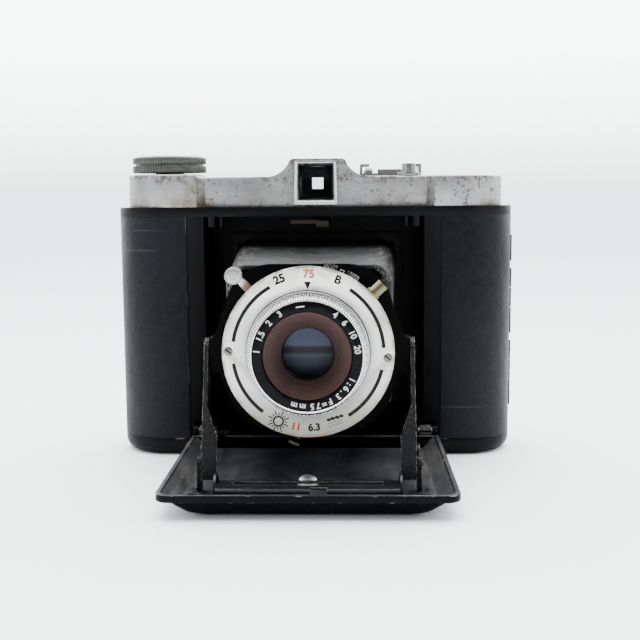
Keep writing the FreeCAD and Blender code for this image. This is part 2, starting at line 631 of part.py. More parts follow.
def bed_latch_bar():
    """Bent strip across the front of the bed, with a gap in its front edge for the latch hook."""
    y_back = FRONT_Y - 60.0
    y_front = FRONT_Y - 69.0
    strip = box(-25.4, 25.4, y_front, y_back, 7.7, 8.3)
    legs = [box(x, x + 1.6, y_front + 3.2, y_back, BED_FLOOR_Z, 7.7) for x in (-25.4, 23.8)]
    feet = [box(-25.4, -20.0, y_front + 3.2, y_back, BED_FLOOR_Z, BED_FLOOR_Z + 0.8),
            box(20.0, 25.4, y_front + 3.2, y_back, BED_FLOOR_Z, BED_FLOOR_Z + 0.8)]
    lip = box(-25.4, 25.4, y_front, y_front + 0.6, 6.9, 7.7)
    notch = box(0.7, 5.4, y_front - 1, y_front + 1.6, 6, 9)
    window = box(-21, 21, y_front + 3.4, y_back - 1.6, 7, 9)
    return cut(fuse([strip, lip] + legs + feet), [notch, window])


def strut_springs():
    """A wire loop standing on the bed floor beside each strut, with its foot under the latch bar."""
    y0 = FRONT_Y - 63.0
    radius = 4.0
    loop = ring(25.5, y0, BED_FLOOR_Z + radius, radius, radius - 0.8, 0.7, X_AXIS)
    foot = box(25.5, 26.2, y0 - 0.6, y0 + 9.0, BED_FLOOR_Z, BED_FLOOR_Z + 0.7)
    return Part.makeCompound(both_sides(fuse([loop, foot])))


def bed_rivet():
    base = rod(RIVET_X, RIVET_Y, BED_FLOOR_Z, 3.2, 0.9)
    dome = Part.makeSphere(3.6, vec(RIVET_X, RIVET_Y, BED_FLOOR_Z - 0.7)).common(
        rod(RIVET_X, RIVET_Y, BED_FLOOR_Z + 0.9, 2.7, 3.0))
    stem = rod(RIVET_X, RIVET_Y, 0.4, 1.6, BED_FLOOR_Z - 0.4)
    return fuse([base, dome, stem])


# ---- struts and links ---------------------------------------------------------------
def strut_frame():
    """Unit vectors of the strut in the side plane: along it, and across it to the rear."""
    dy = STRUT_TOP_Y - STRUT_FOOT_Y
    dz = STRUT_TOP_Z - STRUT_FOOT_Z
    length = math.hypot(dy, dz)
    return (dy / length, dz / length), (dz / length, -dy / length)


def strut_point(along, across):
    (ay, az), (cy, cz) = strut_frame()
    return STRUT_FOOT_Y + along * ay + across * cy, STRUT_FOOT_Z + along * az + across * cz


def front_strut():
    pivots = [(STRUT_FOOT_Y, STRUT_FOOT_Z), (STRUT_TOP_Y, STRUT_TOP_Z)]
    blade = swept_plate(STRUT_X, STRUT_T, pivots, [3.6, 3.8])
    link_y, link_z = strut_point(LINK_ALONG, LINK_ACROSS)
    heel = swept_plate(STRUT_X, STRUT_T, [(STRUT_FOOT_Y, STRUT_FOOT_Z), (link_y, link_z)], [3.6, 2.2])
    outline = ((-5.0, -4.4), (16.0, -4.6), (18.5, -3.7), (18.5, -2.6), (-5.0, -2.6))
    corners = [strut_point(along, across) for along, across in outline]
    web = prism([vec(STRUT_X, y, z) for y, z in corners], vec(STRUT_T, 0, 0))
    flange_side = [strut_point(a, c) for a, c in ((-5.0, -4.4), (16.0, -4.6), (16.0, -3.8), (-5.0, -3.6))]
    flange = prism([vec(26.2, y, z) for y, z in flange_side], vec(STRUT_X + STRUT_T - 26.2, 0, 0))
    y_top, z_top = strut_point(16.5, -5.0)
    y_mid, z_mid = strut_point(7.0, -5.0)
    y_end, z_end = strut_point(16.5, -3.0)
    taper_face = Part.Face(Part.makePolygon([vec(26.0, y_top, z_top), vec(26.0, y_mid, z_mid),
                                             vec(STRUT_X, y_top, z_top), vec(26.0, y_top, z_top)]))
    taper = taper_face.extrude(vec(0, y_end - y_top, z_end - z_top))
    solid = cut(fuse([blade, heel, web, flange]), [taper])
    holes = [rod(STRUT_X - 1, STRUT_FOOT_Y, STRUT_FOOT_Z, PIN_R + PIN_FIT, 4, X_AXIS),
             rod(STRUT_X - 1, STRUT_TOP_Y, STRUT_TOP_Z, PIN_R + PIN_FIT, 4, X_AXIS),
             rod(STRUT_X - 1, link_y, link_z, PIN_R + 0.25, 4, X_AXIS)]
    return cut(solid, holes)


def rear_link():
    link_y, link_z = strut_point(LINK_ALONG, LINK_ACROSS)
    bar = swept_plate(LINK_X, 1.2, [(LINK_BODY_Y, LINK_BODY_Z), (link_y, link_z)], [1.5, 1.9])
    bar = cut(bar, [rod(LINK_X - 1, LINK_BODY_Y, LINK_BODY_Z, PIN_R + PIN_FIT, 4, X_AXIS)])
    pin = rod(STRUT_X - 0.3, link_y, link_z, PIN_R, LINK_X - STRUT_X + 1.0, X_AXIS)
    return fuse([bar, pin])


# ---- lens standard ------------------------------------------------------------------
def standard_board():
    """Round-shouldered lens board, a square frame behind it for the bellows, and an ear on each strut."""
    disc = lens_tube(0.0, -BOARD_T, BOARD_R)
    z0 = LENS_Z - BELLOWS_FRONT
    z1 = LENS_Z + BELLOWS_FRONT
    rear_y = BOARD_Y + BOARD_T
    plate = disc.common(box(-BOARD_HALF, BOARD_HALF, BOARD_Y, rear_y, z0, z1))
    frame = rounded_plate(BELLOWS_FRONT, z0, z1, rear_y, rear_y + 0.7, 14.0)
    side = box(BOARD_HALF - 2.0, 29.2, BOARD_Y, BOARD_Y + BOARD_T, 36.5, 47.0)
    ear = box(28.0, 29.2, BOARD_Y, STRUT_TOP_Y + 3.5, 38.5, 47.0)
    corners = [vec(25.0, BOARD_Y, 47.0), vec(28.0, BOARD_Y, 47.0), vec(25.0, BOARD_Y, 54.0)]
    flare = prism(corners, vec(0, BOARD_T, 0))
    board = fuse([plate, frame] + both_sides(side) + both_sides(ear) + both_sides(flare))
    pins = both_sides(rod(28.4, STRUT_TOP_Y, STRUT_TOP_Z, PIN_R, 2.5, X_AXIS))
    heads = both_sides(rod(30.75, STRUT_TOP_Y, STRUT_TOP_Z, 1.3, 0.5, X_AXIS))
    board = fuse([board] + pins + heads)
    return cut(board, [lens_tube(5, -1.0, 10.0), lens_tube(-1.0, -5, 20.0)])


def shutter_housing():
    drum = lens_tube(7.2, 0.0, 23.4, 22.4)
    rear = lens_tube(1.5, 0.0, 23.0, 9.2)
    posts = [Part.makeCylinder(0.8, 2.4, lens_point(BLADE_PIVOT, 270, 3.9), Y_AXIS),
             Part.makeCylinder(0.9, 0.9, lens_point(STOP_PIVOT, 180, 2.4), Y_AXIS)]
    case = fuse([drum, rear] + posts)
    slots = [lens_sector(5.3, 4.1, 24.0, 22.0, -72, -38), lens_sector(2.4, 1.6, 24.0, 22.0, 162, 201)]
    return cut(case, slots)


def lens_mount_tube():
    disc = lens_tube(7.2, 6.2, 22.3, 7.9)
    outer = lens_tube(13.0, 7.2, 13.2, 12.2)
    inner = lens_tube(6.2, 3.9, 9.0, 7.4)
    return fuse([disc, outer, inner])


def face_plate():
    plate = lens_tube(8.1, 7.3, PLATE_R, 17.7)
    lip = lens_tube(7.3, 7.2, 23.3, 17.7)
    plate = fuse([plate, lip])
    seats = [Part.makeCylinder(1.25, 3, lens_point(22.6, a, 9), Y_AXIS) for a in (-89, 94)]
    return cut(plate, seats)


def plate_screws():
    screws = []
    for angle in (-89, 94):
        head = Part.makeCylinder(1.15, 1.0, lens_point(22.6, angle, 8.2), Y_AXIS)
        slot = box(-0.22, 0.22, 0, 0.5, -1.5, 1.5)
        slot.rotate(vec(0, 0, 0), Y_AXIS, 35 + angle)
        slot.translate(lens_point(22.6, angle, 8.4))
        screws.append(cut(head, [slot]))
    return Part.makeCompound(screws)


def cable_release_socket():
    base = lens_point(22.9, 48, 6.6)
    tip = lens_point(28.6, 48, 6.6)
    along = (tip - base).normalize()
    body = Part.makeCylinder(1.75, 5.7, base, along)
    collar = Part.makeCylinder(2.1, 1.0, base + along * 1.2, along)
    bore = Part.makeCylinder(1.3, 4.2, base + along * 1.51, along)
    near = [lens_tube(9, 0, 23.45), lens_tube(9, 7.25, PLATE_R + 0.05)]
    return cut(fuse([body, collar]), [bore] + near)


def speed_ring():
    """Thin band between the drum and the face plate, with two groups of finger teeth and a pointer."""
    band = lens_tube(7.15, 5.6, 24.35, 23.46)
    grips = []
    for start in (11.6, 27.0):
        for i in range(5):
            tooth = start + i * 1.75
            grips.append(lens_sector(7.15, 5.6, 25.7, 24.0, tooth - 0.55, tooth + 0.55))
    pointer = lens_sector(7.15, 5.6, 25.2, 24.0, 21.6, 24.4)
    gap = lens_sector(7.2, 5.5, 26.0, 23.0, 42.0, 98.0)
    return cut(fuse([band] + grips + [pointer]), [gap])


def shutter_lever():
    """Release lever: a curved hub inside the drum and an arm that narrows to the post of its knob."""
    hub = lens_sector(5.1, 4.3, 21.5, 19.8, -47, -28)
    outline = [(19.8, -46.8), (26.0, -46.2), (31.4, -44.8), (31.4, -42.2), (26.0, -40.8), (19.8, -40.2)]
    arm = prism([lens_point(r, a, 4.3) for r, a in outline], vec(0, -0.8, 0))
    post = Part.makeCylinder(1.1, 4.2, lens_point(30.2, -43.5, 8.5), Y_AXIS)
    return fuse([hub, arm, post])


def lever_knob():
    p = lens_point(30.2, -43.5, 9.6)
    grip = knurled(p.x, p.y, p.z, 2.5, 0.22, 20, 2.6, Y_AXIS)
    hole = Part.makeCylinder(1.1, 3, lens_point(30.2, -43.5, 8.5), Y_AXIS)
    return cut(grip, [hole])


def shutter_blade(side, ahead):
    """Upper or lower half of a disc that covers the light path, on an arm from a pivot beside the lens."""
    y = BOARD_Y - ahead
    low, high = (-0.7, 12) if side > 0 else (-12, 0.7)
    half = box(-10, 10, y - 1, y + 1, LENS_Z + low, LENS_Z + high)
    leaf = lens_tube(ahead + 0.25, ahead, 8.6).common(half)
    eye = rod(-BLADE_PIVOT, y - 0.25, LENS_Z, 1.9, 0.25, Y_AXIS)
    outline = [(-BLADE_PIVOT, -0.5), (-BLADE_PIVOT, 1.8), (-5.0, 5.5), (-7.0, 1.0)]
    arm = prism([vec(x, y, LENS_Z + side * z) for x, z in outline], vec(0, -0.25, 0))
    hole = rod(-BLADE_PIVOT, y - 1, LENS_Z, 0.8 + PIN_FIT, 2, Y_AXIS)
    return cut(fuse([leaf, eye, arm]), [hole])


def stop_disc(x, z, radius, back, front):
    """A disc across the light path, between two distances ahead of the board."""
    return rod(x, BOARD_Y - front, z, radius, front - back, Y_AXIS)


def stop_plate():
    """A fan with a small and a large stop, swung about a pivot below the lens."""
    low = LENS_Z - STOP_PIVOT
    turn = math.radians(STOP_SWING)
    wide_x = STOP_PIVOT * math.sin(turn)
    wide_z = low + STOP_PIVOT * math.cos(turn)
    outline = [(-1.4, low), (-4.0, LENS_Z), (2.0, LENS_Z + 4.0), (wide_x + 2.0, wide_z + 4.5),
               (wide_x + 4.0, wide_z - 2.0), (1.4, low)]
    fan = prism([vec(x, BOARD_Y - 1.7, z) for x, z in outline], vec(0, -0.3, 0))
    places = [(0, LENS_Z, 5.0, 3.4), (wide_x, wide_z, 6.6, 5.4), (0, low, 2.4, 0.9 + PIN_FIT)]
    discs = [stop_disc(x, z, outer, 1.7, 2.0) for x, z, outer, _ in places]
    holes = [stop_disc(x, z, inner, 1, 3) for x, z, _, inner in places]
    return cut(fuse([fan] + discs), holes)


def lever_point(reach, angle, ahead):
    """A point at a distance and a clock angle from the pivot of the stops."""
    turn = math.radians(angle)
    return vec(reach * math.sin(turn), BOARD_Y - ahead, LENS_Z - STOP_PIVOT + reach * math.cos(turn))


def aperture_lever():
    """The lever of the stops: it leaves the drum at the bottom and ends in a tab bent forwards."""
    tab = 204.5
    boss = stop_disc(0, LENS_Z - STOP_PIVOT, 1.9, 2.0, 2.3)
    boss = cut(boss, [stop_disc(0, LENS_Z - STOP_PIVOT, 0.9 + PIN_FIT, 1, 3)])
    outline = [(1.7, -28), (9.0, -8), (10.7, -8.5), (10.7, 8.5), (9.0, 8), (1.7, 28)]
    arm = prism([lever_point(reach, tab + turn, 2.0) for reach, turn in outline], vec(0, -0.3, 0))
    angles = [tab - 8.5 + 17.0 * i / 4 for i in range(5)]
    edge = [lever_point(10.7, angle, 2.0) for angle in angles]
    edge += [lever_point(9.9, angle, 2.0) for angle in reversed(angles)]
    return fuse([boss, arm, prism(edge, vec(0, -5.6, 0))])


def middle_lens():
    slab = lens_tube(6.1, 4.0, 7.4)
    front = Part.makeSphere(30.0, vec(0, BOARD_Y - 5.5 - 30.0, LENS_Z))
    back = Part.makeSphere(30.0, vec(0, BOARD_Y - 4.6 + 30.0, LENS_Z))
    return cut(slab, [front, back])


def rear_lens_cell():
    tube = lens_tube(0.0, -5.6, 9.1, 7.6)
    tube = cut(tube, [lens_tube(0.2, -0.2, 20)])
    stop = lens_tube(-0.2, -1.0, 7.7, 6.6)
    return fuse([tube, stop])


def rear_lens():
    slab = lens_tube(-1.2, -4.6, 7.6)
    front = Part.makeSphere(26.0, vec(0, BOARD_Y + 1.2 + 26.0, LENS_Z))
    back = Part.makeSphere(20.0, vec(0, BOARD_Y + 4.6 - 20.0, LENS_Z))
    return slab.common(front).common(back)


def retaining_nut():
    nut = lens_tube(-BOARD_T, -BOARD_T - 1.6, 11.6, 9.1)
    notches = []
    for angle in (0, 90, 180, 270):
        p = lens_point(11.4, angle, 0)
        notches.append(box(p.x - 1.0, p.x + 1.0, BOARD_Y, BOARD_Y + 5, p.z - 1.0, p.z + 1.0))
    return cut(nut, notches)


def front_cell():
    tube = lens_tube(11.2, 8.0, 12.1, 8.4)
    seat = lens_tube(8.9, 8.0, 8.5, 7.0)
    return fuse([tube, seat])


def front_lens():
    slab = lens_tube(11.6, 9.0, 8.3)
    return slab.common(Part.makeSphere(22.0, vec(0, BOARD_Y - 11.6 + 22.0, LENS_Z)))


def baffle_cone():
    """Ridged cone that shades the front glass, from the name ring down to the lens."""
    profile = []
    rings = 7
    for i in range(rings):
        r0 = 12.3 - i * 0.69
        d0 = 15.3 - i * 0.56
        profile.append((r0, d0))
        profile.append((r0 - 0.1, d0 - 0.42))
        profile.append((r0 - 0.6, d0 - 0.50))
    profile.append((7.45, 11.2))
    points = [vec(r, BOARD_Y - d, LENS_Z) for r, d in profile]
    rear = [vec(8.2, BOARD_Y - 11.2, LENS_Z), vec(12.3, BOARD_Y - 14.6, LENS_Z)]
    face = Part.Face(Part.makePolygon(points + rear + [points[0]]))
    return face.revolve(vec(0, 0, LENS_Z), Y_AXIS, 360)


def focus_ring():
    p = vec(0, BOARD_Y - FOCUS_FRONT + 0.7, LENS_Z)
    grip = knurled(p.x, p.y, p.z, FOCUS_R, 0.3, 96, FOCUS_FRONT - 0.7 - 8.4, Y_AXIS)
    front = Part.makeCone(FOCUS_R - 0.9, FOCUS_R - 0.3, 0.7, vec(0, BOARD_Y - FOCUS_FRONT, LENS_Z), Y_AXIS)
    flange = lens_tube(9.1, 8.3, FOCUS_R + 0.75)
    solid = fuse([grip, front, flange])
    bores = [lens_tube(20, 15.4, 15.4), lens_tube(16, 13.7, 12.5), lens_tube(13.7, 8, 13.28)]
    return cut(solid, bores)


def name_ring():
    return lens_tube(16.0, 15.4, 15.35, 12.5)


# ---- back ---------------------------------------------------------------------------
WINDOW_X = 18.0
WINDOW_Z = LENS_Z
WINDOW_R = 4.6


def rear_half():
    return box(-70, 70, -30, SPLIT_Y + SHELL_GAP, 0, 100)


def back_cover():
    outer = stadium(BODY_WIDTH / 2 - LEATHER, END_R - LEATHER, BASE_TOP + 0.3, LEATHER_TOP - 0.3)
    inner = stadium(BODY_WIDTH / 2 - LEATHER - 1.2, END_R - LEATHER - 1.2, BASE_TOP, LEATHER_TOP)
    shell = cut(outer, [inner, rear_half()])
    shell = cut(shell, knuckle_set(BODY_KNUCKLES, KNUCKLE_LENGTH, 0.2))
    shell = fuse([shell] + knuckle_set(BACK_KNUCKLES, BACK_KNUCKLE_LENGTH))
    window = rod(WINDOW_X, 10, WINDOW_Z, WINDOW_R, 10, Y_AXIS)
    return cut(shell, [pin_channel(), window])


def back_leather():
    outer = stadium(BODY_WIDTH / 2, END_R, BASE_TOP + 0.5, LEATHER_TOP - 0.5)
    inner = stadium(BODY_WIDTH / 2 - LEATHER, END_R - LEATHER, BASE_TOP, LEATHER_TOP)
    skin = cut(outer, [inner, rear_half()])
    around = knuckle_set(BODY_KNUCKLES, KNUCKLE_LENGTH, 0.2)
    around += knuckle_set(BACK_KNUCKLES, BACK_KNUCKLE_LENGTH)
    around.append(pin_channel())
    around.append(rod(WINDOW_X, 10, WINDOW_Z, 7.2, 10, Y_AXIS))
    return cut(skin, around)


def back_pin():
    return rod(BACK_PIN_X, SPLIT_Y, 12.0, BACK_PIN_R, 64.0)


def pressure_plate():
    plate = rounded_plate(29.5, LENS_Z - 31, LENS_Z + 31, 11.3, 12.1, 3.0)
    return cut(plate, [rod(WINDOW_X, 10, WINDOW_Z, WINDOW_R + 1.0, 10, Y_AXIS)])


def pressure_springs():
    leaves = []
    for x in (-20.0, 1.0):
        back = [(14.5, 30), (14.5, 33), (12.6, 42), (12.6, 46), (14.5, 55), (14.5, 58)]
        front = [(14.0, 58), (14.0, 55.2), (12.1, 46.3), (12.1, 41.7), (14.0, 32.8), (14.0, 30)]
        leaves.append(prism([vec(x, y, z) for y, z in back + front], vec(5.0, 0, 0)))
    return Part.makeCompound(leaves)


def red_window():
    return rod(WINDOW_X, 14.5, WINDOW_Z, WINDOW_R, 0.9, Y_AXIS)


def window_frame():
    bezel = ring(WINDOW_X, 15.7, WINDOW_Z, 7.2, 4.3, 1.0, Y_AXIS)
    x0 = WINDOW_X - 7.0
    x1 = WINDOW_X + 19.0
    rails = []
    for side in (-1, 1):
        rail_z = WINDOW_Z + side * 6.6
        lip_z = WINDOW_Z + side * 5.9
        rails.append(box(x0, x1, 16.5, 18.1, rail_z - 0.5, rail_z + 0.5))
        rails.append(box(x0, x1, 17.7, 18.1, lip_z - 0.7, lip_z + 0.7))
    plate = box(x0, x1, 16.5, 16.9, WINDOW_Z - 7.1, WINDOW_Z + 7.1)
    hole = rod(WINDOW_X, 15, WINDOW_Z, 4.3, 10, Y_AXIS)
    return cut(fuse([bezel, plate] + rails), [hole])


def window_cover():
    slider = box(WINDOW_X - 6.0, WINDOW_X + 6.5, 17.0, 17.6, WINDOW_Z - 5.9, WINDOW_Z + 5.9)
    ribs = []
    for x in (WINDOW_X + 2.0, WINDOW_X + 3.4, WINDOW_X + 4.8):
        ribs.append(box(x, x + 0.7, 17.6, 18.2, WINDOW_Z - 3.5, WINDOW_Z + 3.5))
    return fuse([slider] + ribs)


def back_latch():
    """Thumb slide that hugs the round end of the back."""
    outer = stadium(BODY_WIDTH / 2 + 0.9, END_R + 0.9, LENS_Z - 8, LENS_Z + 5)
    inner = stadium(BODY_WIDTH / 2 + 0.05, END_R + 0.05, 0, 100)
    window = box(-70, -60, SPLIT_Y + 0.8, SPLIT_Y + 5.2, 0, 100)
    slider = cut(outer, [inner]).common(window)
    ribs = []
    for i in range(5):
        z = LENS_Z - 6.0 + 2.2 * i
        rib = cut(stadium(BODY_WIDTH / 2 + 1.3, END_R + 1.3, z, z + 0.9), [inner]).common(window)
        ribs.append(rib)
    return fuse([slider] + ribs)


# ---- write every sub-part -----------------------------------------------------------
def sub_parts():
    strut = front_strut()
    link = rear_link()
    bracket = strut_bracket()
    return {
        "body_shell": fuse([body_shell(), latch_bracket()] + strut_catches()),
        "base_plate": base_plate(),
        "tripod_bush": tripod_bush(),
        "leather_left": leather_front(-1),
        "leather_right": leather_front(1),
        "film_gate": fuse([film_gate(), bellows_frame()]),
        "film_roller_left": film_roller(-1),
        "film_roller_right": film_roller(1),
        "spool_pins": spool_pins(),
        "bellows": bellows(),
        "hinge_pins": Part.makeCompound([hinge_pins(), link_body_pins(), back_pin()]),
        "top_housing": top_housing(),
        "finder_frame": finder_frame(),
        "finder_tunnel": fuse([finder_tunnel(), eyepiece_frame()]),
        "finder_front_lens": finder_front_lens(),
        "finder_rear_lens": finder_rear_lens(),
        "accessory_shoe": accessory_shoe(),
        "shoe_spring": shoe_spring(),
        "shoe_screws": shoe_screws(),
        "button_collar": button_collar(),
        "winding_knob": fuse([winding_knob(), winding_key()]),
        "take_up_spool": take_up_spool(),
        "release_button": release_button(),
        "bed_release_button": bed_release_button(),
        "bed_latch_hook": bed_latch_hook(),
        "bed_plate": bed_plate(),
        "strut_brackets": Part.makeCompound(both_sides(bracket)),
        "bed_latch_bar": Part.makeCompound([bed_latch_bar(), strut_springs()]),
        "bed_rivet": bed_rivet(),
        "front_strut_right": strut,
        "front_strut_left": mirrored(strut),
        "rear_link_right": link,
        "rear_link_left": mirrored(link),
        "standard_board": standard_board(),
        "shutter_housing": shutter_housing(),
        "lens_mount_tube": lens_mount_tube(),
        "face_plate": face_plate(),
        "plate_screws": plate_screws(),
        "cable_release_socket": cable_release_socket(),
        "speed_ring": speed_ring(),
        "shutter_lever": Part.makeCompound([shutter_lever(), lever_knob()]),
        "shutter_blade_lower": shutter_blade(-1, 2.5),
        "shutter_blade_upper": shutter_blade(1, 3.0),
        "aperture_lever": fuse([aperture_lever(), stop_plate()]),
        "middle_lens": middle_lens(),
        "rear_lens_cell": Part.makeCompound([rear_lens_cell(), retaining_nut()]),
        "rear_lens": rear_lens(),
        "front_cell": front_cell(),
        "front_lens": front_lens(),
        "baffle_cone": baffle_cone(),
        "focus_ring": focus_ring(),
        "name_ring": name_ring(),
        "back_cover": back_cover(),
        "back_leather": back_leather(),
        "pressure_plate": pressure_plate(),
        "pressure_springs": pressure_springs(),
        "red_window": red_window(),
        "window_frame": window_frame(),
        "window_cover": window_cover(),
        "back_latch": back_latch(),
    }


os.makedirs("parts", exist_ok=True)
for node, shape in sub_parts().items():
    save(node, shape)
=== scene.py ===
import json
import math
import random

import bmesh
import bpy
from mathutils import Matrix, Vector

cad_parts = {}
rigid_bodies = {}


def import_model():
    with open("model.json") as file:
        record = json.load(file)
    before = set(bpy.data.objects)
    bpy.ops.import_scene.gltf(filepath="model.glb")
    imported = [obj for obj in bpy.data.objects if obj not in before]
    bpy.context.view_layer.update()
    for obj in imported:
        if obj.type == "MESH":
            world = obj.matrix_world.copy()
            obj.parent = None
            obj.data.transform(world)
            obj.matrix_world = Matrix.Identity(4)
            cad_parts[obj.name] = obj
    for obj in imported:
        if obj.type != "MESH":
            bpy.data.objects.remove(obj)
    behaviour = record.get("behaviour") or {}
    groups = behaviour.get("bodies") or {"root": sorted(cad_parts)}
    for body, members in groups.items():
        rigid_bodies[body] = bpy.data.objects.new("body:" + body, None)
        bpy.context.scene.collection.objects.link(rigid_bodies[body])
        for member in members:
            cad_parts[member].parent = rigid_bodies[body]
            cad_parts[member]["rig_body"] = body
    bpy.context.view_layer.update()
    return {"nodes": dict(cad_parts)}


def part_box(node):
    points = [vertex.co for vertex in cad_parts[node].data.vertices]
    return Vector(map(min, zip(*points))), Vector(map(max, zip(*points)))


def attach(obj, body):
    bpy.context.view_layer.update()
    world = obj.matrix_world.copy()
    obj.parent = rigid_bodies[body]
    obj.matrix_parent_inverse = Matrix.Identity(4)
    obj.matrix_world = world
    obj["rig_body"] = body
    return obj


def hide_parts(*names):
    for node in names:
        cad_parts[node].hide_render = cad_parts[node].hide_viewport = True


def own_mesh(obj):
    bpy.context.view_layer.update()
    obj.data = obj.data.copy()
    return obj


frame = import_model()

MM = 0.001

# The viewing camera: place in metres, angles in radians.
CAMERA_PLACE = (0.01123, -0.35931, 0.08846)
CAMERA_PITCH, CAMERA_YAW, CAMERA_ROLL = 0.1217, -0.0271, -0.0071
CAMERA_LENS = 57.95
SENSOR_WIDTH = 36.0
NEAREST_SEEN = 0.01

# Brightness of the surroundings. It rises from the room in front to the backdrop behind,
# and falls off towards the horizon.
ROOM_LIGHT = 0.5
BACKDROP_LIGHT = 9.0
ROOM_TO_BACKDROP = (-0.2, 0.75)
HORIZON_SHARE = 0.36
HORIZON_HEIGHT = 0.14
SKY_COLOUR = (0.94, 0.975, 1.0, 1.0)
PAPER_COLOUR = (0.95, 0.96, 0.975, 1.0)
FLOOR_HALF = 30.0

# Lights as name, place in metres, size in metres and power in watts; all face the subject.
SUBJECT = (0.0, -0.03, 0.05)
LIGHTS = (
    ("top_light", (0.0, -0.10, 0.8), (0.9, 0.6), 15.0),
    ("left_light", (-0.8, -0.5, 0.45), (0.4, 0.7), 4.0),
    ("right_light", (0.8, -0.4, 0.4), (0.4, 0.7), 3.0))

# Measures of the CAD model, in metres.
RING_LOW, RING_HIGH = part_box("name_ring")
LENS_Z = (RING_LOW.z + RING_HIGH.z) / 2
PLATE_LOW, PLATE_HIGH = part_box("face_plate")
PLATE_RADIUS = (PLATE_HIGH.x - PLATE_LOW.x) / 2
CONE_LOW, CONE_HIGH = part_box("baffle_cone")
FOCUS_LOW, FOCUS_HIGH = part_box("focus_ring")
RING_RADIUS = (FOCUS_HIGH.x - FOCUS_LOW.x) / 2
RING_BEADS = 140.0

# Where wear, dirt, painted highlights and painted reflections begin and end, as pairs for soft steps, in
# metres.
COVER_FOOT = (0.0895, 0.0848)
DECK_RIM = (0.0912, 0.0936)
HUMP_CORNER_INNER = (0.0345, 0.0385)
HUMP_CORNER_OUTER = (0.0440, 0.0395)
DUST_AND_SHEEN_WALL = (0.018, 0.031)
SCUFF_AND_HIGHLIGHT_CORNER = (0.0155, 0.0215)
SEAM_AND_REFLECTION_BAND = (0.0006, 0.0016)
LEVER_ROOT = (0.0272, 0.0258)

# The pleated bellows.
FOLDS = 23
PLEAT_DEPTH = 1.9 * MM
BACK_HALF, FRONT_HALF = 28.5 * MM, 24.5 * MM
CLOTH_THICKNESS = 0.45 * MM
CLOTH_SAG = 0.35 * MM
CRUMPLE = 0.5 * MM
UPPER_CUT_OUT, UPPER_CUT_IN = 2.0 * MM, 3.6 * MM
LOWER_CUT_OUT, LOWER_CUT_IN = 6.5 * MM, 7.5 * MM
SIDE_POINTS, CORNER_POINTS = 10, 2
CLOSING_RIDGE = 0.4
RANDOM_SEED = 4
CLOSING_RING = 0.93

# The marks round the lens: radii and heights in metres, clock angles in degrees.
ARC_INNER, ARC_OUTER = 20.88 * MM, 21.92 * MM
INDEX_TIP, INDEX_FOOT = 17.95 * MM, 20.1 * MM
SPEED_RADIUS, SPEED_HEIGHT = 22.2 * MM, 2.4 * MM
STOP_RADIUS, STOP_HEIGHT = 21.7 * MM, 2.1 * MM
PLATE_MARK_PROUD = 0.035 * MM
RING_TEXT_RADIUS, RING_TEXT_HEIGHT = 13.95 * MM, 1.75 * MM
RING_MARK_PROUD = 0.03 * MM
DASH_INNER, DASH_OUTER = 13.8 * MM, 14.15 * MM
FONT_SIZE_PER_HEIGHT = 1.37
PLATE_TEXT_WEIGHT, RING_TEXT_WEIGHT = 0.13 * MM, 0.05 * MM
SUN_RADIUS, SUN_ANGLE = 21.6 * MM, 203.6
CLOUD_RADIUS, CLOUD_ANGLE = 21.4 * MM, 158.8
SCREW_RADIUS, SCREW_ANGLES = 22.6 * MM, (-89, 94)
POINTER_FROM, POINTER_TO = 19.5, 25.0
LEVER_KNOB_RADIUS, LEVER_KNOB_ANGLE = 30.2 * MM, -43.5


# ---- camera, lights and floor --------------------------------------------------------
def make_camera():
    """In front of the lens and a little above it, looking slightly down."""
    data = bpy.data.cameras.new("camera")
    data.lens = CAMERA_LENS
    data.sensor_width = SENSOR_WIDTH
    data.clip_start = NEAREST_SEEN
    camera = bpy.data.objects.new("camera", data)
    bpy.context.scene.collection.objects.link(camera)
    level = math.cos(CAMERA_PITCH)
    forward = Vector((math.sin(CAMERA_YAW) * level, math.cos(CAMERA_YAW) * level, -math.sin(CAMERA_PITCH)))
    turn = forward.to_track_quat("-Z", "Y").to_matrix().to_4x4()
    roll = Matrix.Rotation(CAMERA_ROLL, 4, "Z")
    camera.matrix_world = Matrix.Translation(CAMERA_PLACE) @ turn @ roll
    bpy.context.scene.camera = camera


def area_light(name, place, size, power):
    """A rectangular light that faces the subject."""
    data = bpy.data.lights.new(name, "AREA")
    data.shape = "RECTANGLE"
    data.size, data.size_y = size
    data.energy = power
    light = bpy.data.objects.new(name, data)
    bpy.context.scene.collection.objects.link(light)
    direction = Vector(SUBJECT) - Vector(place)
    turn = direction.to_track_quat("-Z", "Y").to_matrix().to_4x4()
    light.matrix_world = Matrix.Translation(place) @ turn


def range_node(tree, source, low, high, start, end, smooth=False):
    """Turns a value from low..high into start..end."""
    made = tree.nodes.new("ShaderNodeMapRange")
    if smooth:
        made.interpolation_type = "SMOOTHSTEP"
    for socket, value in (("From Min", low), ("From Max", high), ("To Min", start), ("To Max", end)):
        made.inputs[socket].default_value = value
    tree.links.new(source, made.inputs["Value"])
    return made.outputs["Result"]


